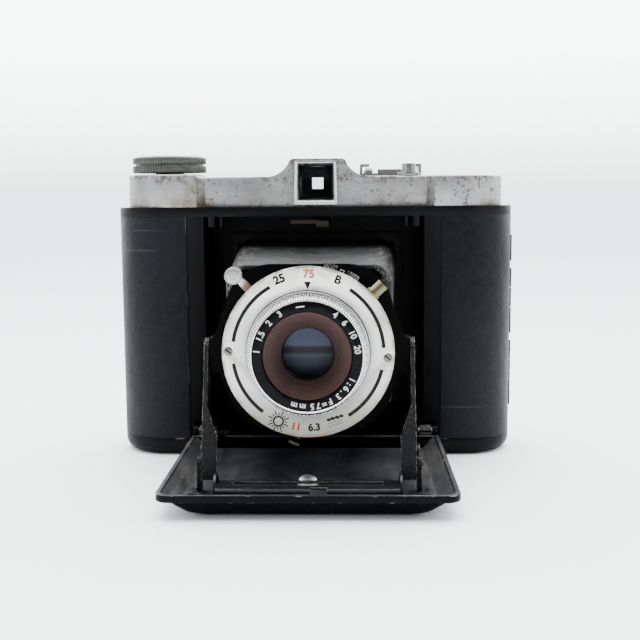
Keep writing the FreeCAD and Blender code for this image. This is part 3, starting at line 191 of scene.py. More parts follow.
def make_studio():
    """White backdrop behind the object, a dimmer room in front, soft light from above and both sides."""
    world = bpy.data.worlds.new("studio")
    bpy.context.scene.world = world
    world.use_nodes = True
    tree = world.node_tree
    sky = tree.nodes["Background"]
    sky.inputs["Color"].default_value = SKY_COLOUR
    direction = tree.nodes.new("ShaderNodeTexCoord").outputs["Generated"]
    split = tree.nodes.new("ShaderNodeSeparateXYZ")
    tree.links.new(direction, split.inputs[0])
    fade = range_node(tree, split.outputs[1], *ROOM_TO_BACKDROP, ROOM_LIGHT, BACKDROP_LIGHT, smooth=True)
    haze = range_node(tree, split.outputs[2], 0.0, HORIZON_HEIGHT, HORIZON_SHARE, 1.0)
    strength = tree.nodes.new("ShaderNodeMath")
    strength.operation = "MULTIPLY"
    tree.links.new(fade, strength.inputs[0])
    tree.links.new(haze, strength.inputs[1])
    tree.links.new(strength.outputs[0], sky.inputs["Strength"])
    for light in LIGHTS:
        area_light(*light)
    make_floor()


def make_floor():
    """A wide sheet of white paper, level with the foot of the object."""
    mesh = bpy.data.meshes.new("floor")
    corners = [(x * FLOOR_HALF, y * FLOOR_HALF, 0) for x, y in ((-1, -1), (1, -1), (1, 1), (-1, 1))]
    mesh.from_pydata(corners, [], [(0, 1, 2, 3)])
    floor = bpy.data.objects.new("floor", mesh)
    bpy.context.scene.collection.objects.link(floor)
    paint = bpy.data.materials.new("floor_paper")
    paint.use_nodes = True
    shader = paint.node_tree.nodes["Principled BSDF"]
    shader.inputs["Base Color"].default_value = PAPER_COLOUR
    shader.inputs["Roughness"].default_value = 0.9
    shader.inputs["Specular IOR Level"].default_value = 0.1
    mesh.materials.append(paint)


# ---- material helper -----------------------------------------------------------------
class Surface:
    """A material under construction: short methods that add nodes and hand back their sockets."""

    def __init__(self, name, roughness=0.5, metallic=0.0, **settings):
        self.material = bpy.data.materials.new(name)
        self.material.use_nodes = True
        self.tree = self.material.node_tree
        self.shader = self.tree.nodes["Principled BSDF"]
        self.shader.inputs["Roughness"].default_value = roughness
        self.shader.inputs["Metallic"].default_value = metallic
        for socket, value in settings.items():
            self.shader.inputs[socket.replace("_", " ")].default_value = value
        places = self.tree.nodes.new("ShaderNodeTexCoord")
        self.coordinates = places.outputs["Object"]
        self.facing = places.outputs["Normal"]

    def link(self, source, target):
        self.tree.links.new(source, target)

    def node(self, kind, values=(), **properties):
        """Adds a node; values maps its inputs to sockets or plain values."""
        made = self.tree.nodes.new(kind)
        for key, value in properties.items():
            setattr(made, key, value)
        for socket, value in dict(values).items():
            if isinstance(value, bpy.types.NodeSocket):
                self.link(value, made.inputs[socket])
            else:
                made.inputs[socket].default_value = value
        return made

    def stretched(self, x, y, z):
        made = self.node("ShaderNodeMapping", {"Vector": self.coordinates, "Scale": (x, y, z)})
        return made.outputs["Vector"]

    def noise(self, scale, detail=4.0, roughness=0.55, vector=None):
        """Cloudy noise; scale is in features per metre."""
        made = self.node("ShaderNodeTexNoise", {"Vector": vector or self.coordinates, "Scale": scale,
                                                "Detail": detail, "Roughness": roughness})
        return made.outputs["Fac"]

    def cells(self, scale, feature="F1"):
        """Distance within a pattern of cells."""
        made = self.node("ShaderNodeTexVoronoi", {"Vector": self.coordinates, "Scale": scale},
                         feature=feature)
        return made.outputs["Distance"]

    def step(self, factor, low, high, start=0.0, end=1.0):
        """A soft step from start to end while the factor goes from low to high."""
        return range_node(self.tree, factor, low, high, start, end, smooth=True)

    def raw(self, operation, *values):
        """Arithmetic with a free result."""
        return self.node("ShaderNodeMath", dict(enumerate(values)), operation=operation).outputs[0]

    def held(self, operation, a, b):
        """Arithmetic with its result held between 0 and 1."""
        return self.node("ShaderNodeMath", {0: a, 1: b}, operation=operation, use_clamp=True).outputs[0]

    def times(self, a, b):
        return self.held("MULTIPLY", a, b)

    def most(self, a, b):
        return self.held("MAXIMUM", a, b)

    def plus(self, a, b):
        return self.held("ADD", a, b)

    def less(self, a, b):
        return self.raw("SUBTRACT", a, b)

    def mix(self, factor, a, b):
        """A colour between a and b."""
        made = self.node("ShaderNodeMix", {0: factor}, data_type="RGBA")
        for socket, value in ((6, a), (7, b)):
            if isinstance(value, bpy.types.NodeSocket):
                self.link(value, made.inputs[socket])
            else:
                made.inputs[socket].default_value = (*value, 1.0)
        return made.outputs[2]

    def along(self, axis):
        """The object's own coordinate along an axis."""
        return self.node("ShaderNodeSeparateXYZ", {0: self.coordinates}).outputs[axis]

    def edge(self):
        """How near an outer edge a point is, painted on the bevels by refined()."""
        return self.node("ShaderNodeAttribute", attribute_name="edge").outputs["Fac"]

    def lens_radius(self):
        """Distance from the lens axis, and the vector from the axis to the point."""
        reach = self.node("ShaderNodeVectorMath", {0: self.coordinates, 1: (0.0, 0.0, LENS_Z)},
                          operation="SUBTRACT")
        flat = self.node("ShaderNodeVectorMath", {0: reach.outputs[0], 1: (1.0, 0.0, 1.0)},
                         operation="MULTIPLY")
        length = self.node("ShaderNodeVectorMath", {0: flat.outputs[0]}, operation="LENGTH")
        return length.outputs["Value"], flat.outputs[0]

    def bump(self, height, distance, strength=1.0, after=None):
        """Relief from a height, added to an earlier relief if there is one."""
        values = {"Height": height, "Distance": distance, "Strength": strength}
        if after:
            values["Normal"] = after
        return self.node("ShaderNodeBump", values).outputs["Normal"]

    def done(self, colour=None, roughness=None, metallic=None, normal=None):
        """Links what has been made to the shader and returns the material."""
        for socket, value in (("Base Color", colour), ("Roughness", roughness),
                              ("Metallic", metallic), ("Normal", normal)):
            if value is not None:
                self.link(value, self.shader.inputs[socket])
        return self.material


# ---- materials -----------------------------------------------------------------------
def satin_silver():
    """Top cover: satin grey plating with dark pits, brown stains and grime along its edges."""
    s = Surface("satin_silver", 0.42, 0.7)
    cloud = s.noise(55.0, 5.0, 0.6)
    base = s.mix(s.step(cloud, 0.35, 0.7), (0.210, 0.213, 0.214), (0.305, 0.308, 0.305))
    grain = s.noise(2600.0, 3.0, 0.6)
    field = s.noise(95.0, 3.0, 0.6)
    pits = s.times(s.step(s.noise(720.0, 2.0, 0.6), 0.60, 0.645), s.step(field, 0.44, 0.56))
    small = s.times(s.step(s.noise(1500.0, 2.0, 0.7), 0.61, 0.66), s.step(s.noise(160.0), 0.46, 0.60))
    blots = s.times(s.step(s.noise(330.0, 5.0, 0.7), 0.60, 0.66), s.step(s.noise(60.0), 0.47, 0.58))
    marks = s.most(s.most(pits, s.times(blots, 0.8)), s.times(small, 0.8))
    colour = s.mix(s.times(marks, 0.85), base, (0.045, 0.035, 0.03))
    low = s.step(s.along("Z"), *COVER_FOOT)
    side = s.raw("ABSOLUTE", s.along("X"))
    corner = s.times(s.step(side, *HUMP_CORNER_INNER), s.step(side, *HUMP_CORNER_OUTER))
    near = s.plus(s.times(low, 0.75), corner)
    stain = s.times(s.step(s.noise(75.0, 6.0, 0.7), 0.46, 0.62), s.plus(near, 0.2))
    colour = s.mix(s.times(stain, 0.85), colour, (0.125, 0.092, 0.055))
    top = s.step(s.along("Z"), *DECK_RIM)
    upward = s.node("ShaderNodeSeparateXYZ", {0: s.facing}).outputs["Z"]
    top = s.times(top, s.step(upward, 0.95, 0.5, 0.15, 1.0))
    rim = s.times(top, s.step(s.noise(380.0, 5.0, 0.7), 0.50, 0.58))
    worn = s.times(s.edge(), s.step(s.noise(170.0, 5.0, 0.7), 0.44, 0.60))
    rust = s.most(worn, rim)
    colour = s.mix(s.times(rust, 0.85), colour, (0.045, 0.028, 0.017))
    dull = s.most(marks, rust)
    rough = s.step(s.most(dull, s.times(cloud, 0.4)), 0.0, 1.0, 0.36, 0.75)
    metal = s.step(dull, 0.2, 0.9, 0.72, 0.05)
    normal = s.bump(s.less(grain, s.times(marks, 3.0)), 0.00003, 0.5)
    return s.done(colour, rough, metal, normal)


def black_enamel(name, wear=0.6, gloss=0.38, shade=0.0022, bare_shade=0.2, shine=0.07):
    """Stoved black paint, dusty and scuffed, worn to bright metal along its edges."""
    s = Surface(name, gloss, 0.0, Specular_IOR_Level=shine)
    cloud = s.noise(90.0, 5.0, 0.6)
    base = s.mix(s.step(cloud, 0.4, 0.75), (shade * 0.7, shade * 0.7, shade * 0.8),
                 (shade * 1.5, shade * 1.5, shade * 1.8))
    dust = s.times(s.step(s.cells(900.0), 0.10, 0.05), s.step(s.noise(60.0), 0.5, 0.65))
    base = s.mix(s.times(dust, 0.4), base, (0.08, 0.08, 0.08))
    scratch = s.step(s.noise(260.0, 2.0, 0.5, s.stretched(0.06, 3.0, 1.0)), 0.70, 0.76)
    base = s.mix(s.times(scratch, 0.2), base, (0.05, 0.05, 0.05))
    bare = s.times(s.edge(), s.step(s.noise(240.0, 5.0, 0.7), 0.66 - 0.22 * wear, 0.72 - 0.14 * wear))
    colour = s.mix(bare, base, (bare_shade, bare_shade * 0.96, bare_shade * 0.88))
    rough = s.step(s.most(s.times(cloud, 0.9), scratch), 0.3, 1.0, gloss, gloss + 0.3)
    normal = s.bump(s.less(s.noise(1400.0, 3.0), s.times(bare, 1.5)), 0.00003, 0.35)
    return s.done(colour, rough, s.times(bare, 0.85), normal)


def dust_and_painted_sheen():
    """Inside of the bed: black paint lifted to grey as a painted sheen, with pale streaks that thicken
    towards its side walls, partly dust and partly painted reflection.
    """
    s = Surface("dust_and_painted_sheen", 0.55, 0.0, Specular_IOR_Level=0.12)
    side = s.raw("ABSOLUTE", s.along("X"))
    streak = s.noise(260.0, 5.0, 0.65, s.stretched(1.0, 0.12, 1.0))
    cloud = s.noise(60.0, 5.0, 0.65)
    # Painted sheen: the black paint is lifted to grey, standing in for the reflection of the bright
    # surroundings.
    base = s.mix(s.step(cloud, 0.35, 0.68), (0.020, 0.0205, 0.024), (0.048, 0.050, 0.056))
    # Paler streaks towards the side walls: dust, and partly a painted reflection.
    dust = s.times(s.step(streak, 0.46, 0.66), s.step(side, *DUST_AND_SHEEN_WALL))
    colour = s.mix(s.times(dust, 0.7), base, (0.085, 0.080, 0.070))
    lint = s.times(s.step(s.noise(1100.0, 2.0), 0.66, 0.70), 0.6)
    colour = s.mix(lint, colour, (0.14, 0.14, 0.13))
    normal = s.bump(s.noise(1400.0, 3.0), 0.00003, 0.4)
    return s.done(colour, s.step(streak, 0.3, 0.7, 0.42, 0.62), None, normal)


def crinkle_paint():
    """Struts: black crinkle finish rubbed bright on the flanges' edges."""
    s = Surface("crinkle_paint", 0.5, 0.0, Specular_IOR_Level=0.16)
    wrinkle = s.cells(1500.0, "SMOOTH_F1")
    fine = s.noise(3200.0, 3.0)
    base = s.mix(s.noise(300.0), (0.0012, 0.0012, 0.0013), (0.0032, 0.0032, 0.0036))
    bare = s.times(s.edge(), s.step(s.noise(420.0, 5.0, 0.7), 0.44, 0.56))
    colour = s.mix(bare, base, (0.36, 0.355, 0.34))
    height = s.less(s.plus(wrinkle, s.times(fine, 0.5)), bare)
    normal = s.bump(height, 0.00030, 1.0)
    return s.done(colour, s.step(bare, 0.0, 1.0, 0.38, 0.3), s.times(bare, 0.9), normal)


def black_leather(name, painted_shade_scale=1.0, shine=0.10):
    """Covering: thin black leathercloth, almost smooth, with pores, scuffs and a few level scratches."""
    s = Surface(name, 0.5, 0.0, Specular_IOR_Level=shine)
    cloud = s.noise(40.0, 5.0, 0.6)
    # The scale, below 1, darkens a copy of this leather as painted shade.
    base = s.mix(s.step(cloud, 0.35, 0.7), (0.0026 * painted_shade_scale, 0.0028 * painted_shade_scale, 0.0037 * painted_shade_scale),
                 (0.0055 * painted_shade_scale, 0.0060 * painted_shade_scale, 0.0080 * painted_shade_scale))
    mottle = s.step(s.noise(420.0, 5.0, 0.7), 0.40, 0.68)
    base = s.mix(s.times(mottle, 0.45), base, (0.010 * painted_shade_scale, 0.0105 * painted_shade_scale, 0.013 * painted_shade_scale))
    pores = s.cells(1900.0, "SMOOTH_F1")
    creases = s.cells(700.0, "DISTANCE_TO_EDGE")
    lines = s.step(s.noise(520.0, 2.0, 0.5, s.stretched(0.02, 0.02, 1.0)), 0.70, 0.78)
    patch = s.step(s.noise(28.0, 3.0), 0.46, 0.60)
    scratch = s.times(lines, patch)
    colour = s.mix(s.times(scratch, 0.32), base, (0.055, 0.058, 0.06))
    peel = s.times(s.edge(), s.step(s.noise(170.0, 5.0, 0.7), 0.50, 0.60))
    colour = s.mix(s.times(peel, 0.85), colour, (0.07, 0.05, 0.034))
    height = s.plus(s.times(pores, 0.8), s.times(s.step(creases, 0.0, 0.12), 0.35))
    normal = s.bump(height, 0.00012, 0.7)
    normal = s.bump(s.noise(75.0, 5.0, 0.6), 0.0010, 0.45, normal)
    rough = s.step(cloud, 0.3, 0.8, 0.42, 0.62)
    return s.done(colour, rough, None, normal)


def plated(name, colour, roughness=0.25, tarnish=(0.30, 0.24, 0.15), amount=0.35):
    """Nickel, steel or brass fittings with a little tarnish and fine wear."""
    s = Surface(name, roughness, 1.0)
    cloud = s.noise(350.0, 5.0, 0.6)
    spots = s.times(s.step(s.cells(1300.0), 0.22, 0.10), s.step(s.noise(260.0), 0.5, 0.62))
    marks = s.most(s.times(s.step(cloud, 0.52, 0.75), 0.5), spots)
    shade = s.mix(s.times(marks, amount), colour, tarnish)
    rough = s.step(s.most(cloud, spots), 0.3, 1.0, roughness, roughness + 0.3)
    return s.done(shade, rough, None, s.bump(s.noise(3000.0, 3.0), 0.00002, 0.4))


def satin_plate():
    """Shutter face: fine white-silver plating, a little brown round its rim, with painted shade towards its
    bottom and a painted highlight towards its top.
    """
    s = Surface("satin_plate", 0.38, 0.55)
    cloud = s.noise(120.0, 4.0)
    base = s.mix(s.step(cloud, 0.4, 0.7), (0.56, 0.555, 0.53), (0.66, 0.655, 0.63))
    # Painted shade: the plate darkens towards its bottom.
    lower = s.step(s.along("Z"), LENS_Z - 4 * MM, LENS_Z - 21 * MM)
    base = s.mix(lower, base, (0.20, 0.198, 0.178))
    # Painted highlight: the plate brightens towards its top.
    upper = s.step(s.along("Z"), LENS_Z + 6 * MM, LENS_Z + 21 * MM)
    base = s.mix(upper, base, (1.0, 0.99, 0.94))
    yellow = s.step(s.noise(90.0, 5.0, 0.7), 0.54, 0.72)
    colour = s.mix(s.times(yellow, 0.45), base, (0.32, 0.27, 0.165))
    radius, _ = s.lens_radius()
    outermost = s.step(radius, PLATE_RADIUS - 1.1 * MM, PLATE_RADIUS - 0.2 * MM)
    rim = s.times(outermost, s.step(s.noise(210.0, 4.0), 0.36, 0.60))
    colour = s.mix(s.times(rim, 0.8), colour, (0.20, 0.13, 0.07))
    grain = s.noise(2500.0, 4.0, 0.6)
    return s.done(colour, s.step(grain, 0.2, 0.8, 0.32, 0.46), None, s.bump(grain, 0.00002, 0.5))


def ring_silver():
    """Focusing ring: bright plating, fine beads all round its outer edge with painted shade between them,
    black inside.
    """
    s = Surface("ring_silver", 0.26, 1.0)
    radius, flat = s.lens_radius()
    parts = s.node("ShaderNodeSeparateXYZ", {0: flat})
    turn = s.raw("ARCTAN2", parts.outputs["X"], parts.outputs["Z"])
    count = s.raw("MULTIPLY", turn, RING_BEADS)
    wave = s.raw("SINE", count)
    outer = s.times(s.step(radius, RING_RADIUS - 1.9 * MM, RING_RADIUS - 1.6 * MM),
                    s.step(radius, RING_RADIUS - 0.4 * MM, RING_RADIUS - 0.7 * MM))
    # Painted shade in the gaps between the beads.
    bead_gap_shade = s.times(s.step(wave, 0.1, -0.7), outer)
    base = s.mix(s.noise(350.0, 5.0, 0.6), (0.56, 0.56, 0.555), (0.70, 0.70, 0.69))
    colour = s.mix(s.times(bead_gap_shade, 0.9), base, (0.09, 0.085, 0.075))
    spots = s.step(s.noise(500.0, 5.0, 0.7), 0.60, 0.70)
    colour = s.mix(s.times(spots, 0.4), colour, (0.24, 0.20, 0.13))
    inside = s.step(radius, RING_RADIUS - 2.8 * MM, RING_RADIUS - 3.4 * MM)
    colour = s.mix(inside, colour, (0.002, 0.002, 0.0022))
    flange = s.step(radius, RING_RADIUS - 0.8 * MM, RING_RADIUS - 0.4 * MM)
    colour = s.mix(s.times(flange, 0.75), colour, (0.20, 0.20, 0.195))
    bead = s.times(wave, outer)
    return s.done(colour, s.step(bead_gap_shade, 0.0, 1.0, 0.24, 0.45), None, s.bump(bead, 0.00010, 0.6))


def knob_metal():
    """Winding knob: dull grey-green aluminium, dirty in its knurls."""
    s = Surface("knob_metal", 0.5, 0.75)
    base = s.mix(s.noise(180.0, 5.0), (0.033, 0.035, 0.031), (0.062, 0.064, 0.057))
    dirt = s.step(s.noise(420.0, 4.0, 0.7), 0.50, 0.66)
    colour = s.mix(s.times(dirt, 0.55), base, (0.05, 0.047, 0.036))
    colour = s.mix(s.times(s.edge(), 0.4), colour, (0.13, 0.13, 0.12))
    normal = s.bump(s.noise(2400.0, 3.0), 0.00004, 0.6)
    return s.done(colour, s.step(dirt, 0.0, 1.0, 0.42, 0.7), None, normal)


def matt_black(name, shade=0.004, shine=0.12):
    """Flat black paint of the inner parts."""
    s = Surface(name, 0.6, 0.0, Specular_IOR_Level=shine)
    colour = s.mix(s.noise(250.0, 4.0), (shade * 0.7,) * 3, (shade * 1.5,) * 3)
    rough = s.step(s.noise(500.0), 0.3, 0.7, 0.52, 0.7)
    return s.done(colour, rough, None, s.bump(s.noise(2600.0, 3.0), 0.00003, 0.5))


def gloss_black():
    """The ring round the front glass: smooth black lacquer."""
    s = Surface("gloss_black", 0.34, 0.0, Specular_IOR_Level=0.05)
    colour = s.mix(s.noise(200.0), (0.0012, 0.0013, 0.0018), (0.003, 0.0032, 0.0042))
    rough = s.step(s.noise(400.0, 4.0), 0.35, 0.75, 0.2, 0.38)
    return s.done(colour, rough, None, s.bump(s.noise(1800.0), 0.00001, 0.4))


def bellows_cloth():
    """Grey-black leathercloth: painted shade in the valleys, paler along the ridges of its pleats, rubbed and
    partly a painted highlight.
    """
    s = Surface("bellows_cloth", 0.55, 0.0, Specular_IOR_Level=0.12)
    ridge = s.node("ShaderNodeAttribute", attribute_name="ridge").outputs["Fac"]
    cloud = s.noise(140.0, 6.0, 0.72)
    base = s.mix(s.step(cloud, 0.38, 0.66), (0.0026, 0.0028, 0.0031), (0.0075, 0.0079, 0.0085))
    # Painted shade darkens the valleys of the pleats.
    base = s.mix(s.step(ridge, 0.72, 0.3), base, (0.0006, 0.0006, 0.0007))
    # Paler along the ridges: rubbing wear, and partly a painted highlight.
    worn = s.times(s.step(ridge, 0.84, 0.99), s.step(s.noise(180.0, 6.0, 0.75), 0.38, 0.62))
    colour = s.mix(s.times(worn, 0.8), base, (0.065, 0.066, 0.066))
    side = s.raw("ABSOLUTE", s.along("X"))
    # Pale marks on the crumpled side corners: scuffs, and partly painted highlights.
    scuff_and_highlight = s.times(s.step(s.noise(620.0, 5.0, 0.75), 0.52, 0.60), s.step(side, *SCUFF_AND_HIGHLIGHT_CORNER))
    colour = s.mix(s.times(scuff_and_highlight, 0.7), colour, (0.085, 0.083, 0.070))
    height = s.plus(s.cells(2200.0, "SMOOTH_F1"), s.noise(900.0, 4.0))
    return s.done(colour, s.step(cloud, 0.3, 0.8, 0.46, 0.66), None, s.bump(height, 0.00006, 0.7))


def cone_paint():
    """The ridged cone round the front glass: dark coppery brown, with painted shade making it darker towards
    the glass.
    """
    s = Surface("cone_paint", 0.45, 0.35, Specular_IOR_Level=0.1)
    colour = s.mix(s.noise(300.0, 4.0), (0.032, 0.0175, 0.0155), (0.054, 0.030, 0.0265))
    # Painted shade: darker deeper in the cone, towards the glass.
    cone_depth_shade = s.step(s.along("Y"), CONE_LOW.y, CONE_HIGH.y)
    colour = s.mix(s.times(cone_depth_shade, 0.7), colour, (0.008, 0.005, 0.0045))
    rough = s.step(s.noise(900.0), 0.3, 0.7, 0.36, 0.54)
    return s.done(colour, rough, None, s.bump(s.noise(3000.0), 0.00001, 0.4))


def coated_glass(name, tint, cover, shine=0.5):
    """Thin glass: what lies behind shows through, dimmed a little by its cover."""
    s = Surface(name, 0.03, 0.0, Alpha=cover, Specular_IOR_Level=shine)
    s.shader.inputs["Specular Tint"].default_value = (0.75, 0.82, 1.0, 1.0)
    smear = s.noise(120.0, 4.0)
    colour = s.mix(smear, tint, tuple(c * 0.8 for c in tint))
    return s.done(colour, s.step(smear, 0.4, 0.8, 0.03, 0.07))


def blade_steel():
    """Blade colour carrying a painted reflection of the coated front glass: blue, dark along the seam where
    the two halves overlap in a band widened as a painted reflection, with painted shade on the lower half.
    """
    s = Surface("blade_steel", 0.45, 0.0, Specular_IOR_Level=0.3)
    # Painted reflection: the blue tone stands in for the coated front glass.
    colour = s.mix(s.noise(150.0, 3.0), (0.047, 0.057, 0.104), (0.067, 0.080, 0.140))
    off = s.less(s.along("Z"), LENS_Z)
    away = s.raw("ABSOLUTE", off)
    # Dark along the seam, in a band widened as a painted reflection.
    colour = s.mix(s.step(away, *SEAM_AND_REFLECTION_BAND), (0.007, 0.008, 0.012), colour)
    # Painted shade darkens the lower half.
    lower = s.step(off, 0.0, -3 * MM)
    colour = s.mix(s.times(lower, 0.5), colour, (0.016, 0.018, 0.027))
    return s.done(colour)


def lever_steel():
    """Release lever: bright towards its knob, brown where it leaves the drum."""
    s = Surface("lever_steel", 0.3, 1.0)
    cloud = s.noise(420.0, 5.0, 0.6)
    base = s.mix(s.step(cloud, 0.4, 0.7), (0.29, 0.29, 0.285), (0.40, 0.40, 0.39))
    radius, _ = s.lens_radius()
    brown = s.step(radius, *LEVER_ROOT)
    colour = s.mix(s.times(brown, 0.9), base, (0.10, 0.055, 0.040))
    spots = s.step(s.noise(700.0, 4.0), 0.56, 0.66)
    colour = s.mix(s.times(spots, 0.5), colour, (0.09, 0.075, 0.05))
    normal = s.bump(s.noise(2600.0, 3.0), 0.00002, 0.4)
    return s.done(colour, s.step(cloud, 0.3, 0.8, 0.24, 0.5), None, normal)


def paint_fill(name, colour):
    """The paint of numbers and marks, a little faded."""
    s = Surface(name, 0.45, 0.0, Specular_IOR_Level=0.1)
    worn = s.step(s.noise(900.0, 4.0), 0.6, 0.8)
    faded = tuple(min(1.0, c * 1.3 + 0.02) for c in colour)
    return s.done(s.mix(worn, colour, faded), s.step(worn, 0.0, 1.0, 0.45, 0.6))


# ---- mesh helpers --------------------------------------------------------------------
def new_object(name, mesh, material, body, replaced=()):
    """A visual piece that rides on a body, takes one material and stands for the replaced CAD nodes."""
    made = bpy.data.objects.new(name, mesh)
    bpy.context.scene.collection.objects.link(made)
    mesh.materials.clear()
    mesh.materials.append(material)
    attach(made, body)
    if replaced:
        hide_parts(*replaced)
    return made


def smooth_by_angle(mesh, degrees):
    """Shades a mesh smooth, with creases where faces meet at more than the angle."""
    limit = math.radians(degrees)
    shape = bmesh.new()
    shape.from_mesh(mesh)
    for face in shape.faces:
        face.smooth = True
    for edge in shape.edges:
        creased = len(edge.link_faces) == 2 and edge.calc_face_angle(0.0) > limit
        edge.smooth = not (edge.is_boundary or creased)
    shape.to_mesh(mesh)
    shape.free()


def paint_layer(faces, layer, value):
    """Fills a colour layer with one grey on the given faces."""
    for face in faces:
        for loop in face.loops:
            loop[layer] = (value, value, value, 1.0)


def refined(node, material, width, segments=2):
    """A copy of a CAD node's mesh with round bevels, width in millimetres, marked for wear."""
    source = frame["nodes"][node]
    shape = bmesh.new()
    shape.from_mesh(source.data)
    bmesh.ops.remove_doubles(shape, verts=shape.verts, dist=1e-7)
    bmesh.ops.dissolve_limit(shape, angle_limit=math.radians(1.0), verts=shape.verts, edges=shape.edges)
    sharp = math.radians(30.0)
    edges = [e for e in shape.edges if len(e.link_faces) == 2 and e.calc_face_angle(0.0) > sharp]
    layer = shape.loops.layers.float_color.new("edge")
    paint_layer(shape.faces, layer, 0.0)
    made = bmesh.ops.bevel(shape, geom=edges, offset=width * MM, offset_type="OFFSET",
                           segments=segments, profile=0.5, affect="EDGES", clamp_overlap=True,
                           harden_normals=False)
    paint_layer(made["faces"], layer, 1.0)
    mesh = bpy.data.meshes.new(node + "_finish")
    shape.to_mesh(mesh)
    shape.free()
    smooth_by_angle(mesh, 40.0)
    return new_object(node + "_finish", mesh, material, source["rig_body"], (node,))


def refine_all(rows):
    """Refines several nodes; each row holds node, material, slot and bevel width; the slot is not used."""
    for node, material, slot, width in rows:
        refined(node, material, width)


def second_material(piece, material, chosen):
    """Gives the faces that pass a test, on their centre and normal, another material."""
    piece.data.materials.append(material)
    added = len(piece.data.materials) - 1
    for polygon in piece.data.polygons:
        if chosen(polygon.center, polygon.normal):
            polygon.material_index = added


def carried(node, material):
    """Keeps a CAD node's mesh and gives it a better material."""
    piece = frame["nodes"][node]
    if not piece.material_slots:
        piece.data.materials.append(material)
    for slot in piece.material_slots:
        slot.material = material


def woven(rings, count, closed):
    """Faces between rings of count points each; closed joins the last ring to the first."""
    faces = []
    for i in range(rings if closed else rings - 1):
        j = (i + 1) % rings
        for k in range(count):
            following = (k + 1) % count
            faces.append((i * count + k, i * count + following, j * count + following, j * count + k))
    return faces


def lathed(name, profile, material, body, replaced=(), centre=(0.0, LENS_Z), steps=128):
    """Turns a closed outline of (radius, y) points, in metres, about an axis parallel to the lens."""
    verts = []
    count = len(profile)
    for i in range(steps):
        turn = 2 * math.pi * i / steps
        for radius, y in profile:
            x, z = radius * math.sin(turn), radius * math.cos(turn)
            verts.append((centre[0] + x, y, centre[1] + z))
    mesh = bpy.data.meshes.new(name)
    mesh.from_pydata(verts, [], woven(steps, count, closed=True))
    shape = bmesh.new()
    shape.from_mesh(mesh)
    bmesh.ops.remove_doubles(shape, verts=shape.verts, dist=1e-7)
    bmesh.ops.dissolve_degenerate(shape, edges=shape.edges, dist=1e-8)
    bmesh.ops.recalc_face_normals(shape, faces=shape.faces)
    shape.to_mesh(mesh)
    shape.free()
    smooth_by_angle(mesh, 35.0)
    return new_object(name, mesh, material, body, replaced)


def make_front_glass(glass):
    """The bulging front glass."""
    low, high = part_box("front_lens")
    radius = (high.x - low.x) / 2
    rise, steps = 1.3 * MM, 12
    profile = [(radius * i / steps, low.y + rise * (i / steps) ** 2) for i in range(steps + 1)]
    profile += [(radius, high.y), (0.0, high.y)]
    lathed("front_glass", profile, glass, "front_cell", ("front_lens",))


def make_knob_rings(steel):
    """Turned rings on the end of the release lever's knob."""
    low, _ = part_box("shutter_lever")
    at = clock(LEVER_KNOB_RADIUS, LEVER_KNOB_ANGLE, low.y)
    half, crest = 0.22 * MM, low.y - 0.16 * MM
    for i, radius in enumerate((2.1 * MM, 1.1 * MM)):
        outline = [(radius - half, low.y + half), (radius - half * 0.5, crest),
                   (radius + half * 0.5, crest), (radius + half, low.y + half)]
        name = "lever_knob_ring_%d" % (i + 1)
        lathed(name, outline, steel, "shutter_lever", centre=(at.x, at.z), steps=48)


# ---- bellows -------------------------------------------------------------------------
def pleat_outline(half, out):
    """The eight corners of one pleat; out is true where its top and bottom stand out."""
    top = half if out else half - PLEAT_DEPTH
    side = half - PLEAT_DEPTH if out else half
    upper = UPPER_CUT_OUT if out else UPPER_CUT_IN
    lower = LOWER_CUT_OUT if out else LOWER_CUT_IN
    return [(-side, -top + lower), (-side, top - upper), (-side + upper, top), (side - upper, top),
            (side, top - upper), (side, -top + lower), (side - lower, -top), (-side + lower, -top)]


def pleat_ring(outline, y, rng):
    """Points round one pleat: long sides sag a little, corners are crumpled at random."""
    ring = []
    for k, start in enumerate(outline):
        end = outline[(k + 1) % len(outline)]
        long_side = k % 2 == 0
        points = SIDE_POINTS if long_side else CORNER_POINTS
        for n in range(points):
            share = n / points
            x = start[0] + (end[0] - start[0]) * share
            z = start[1] + (end[1] - start[1]) * share
            crumpled = (abs(share - 0.5) * 2) ** 3 if long_side else 1.2
            shift = (rng.random() - 0.5) * CRUMPLE * crumpled
            sag = CLOTH_SAG * math.sin(math.pi * share) if long_side else 0.0
            inward = 1 - sag / math.hypot(x, z)
            ring.append(Vector((x * inward, y + shift, LENS_Z + z * inward)))
    return ring


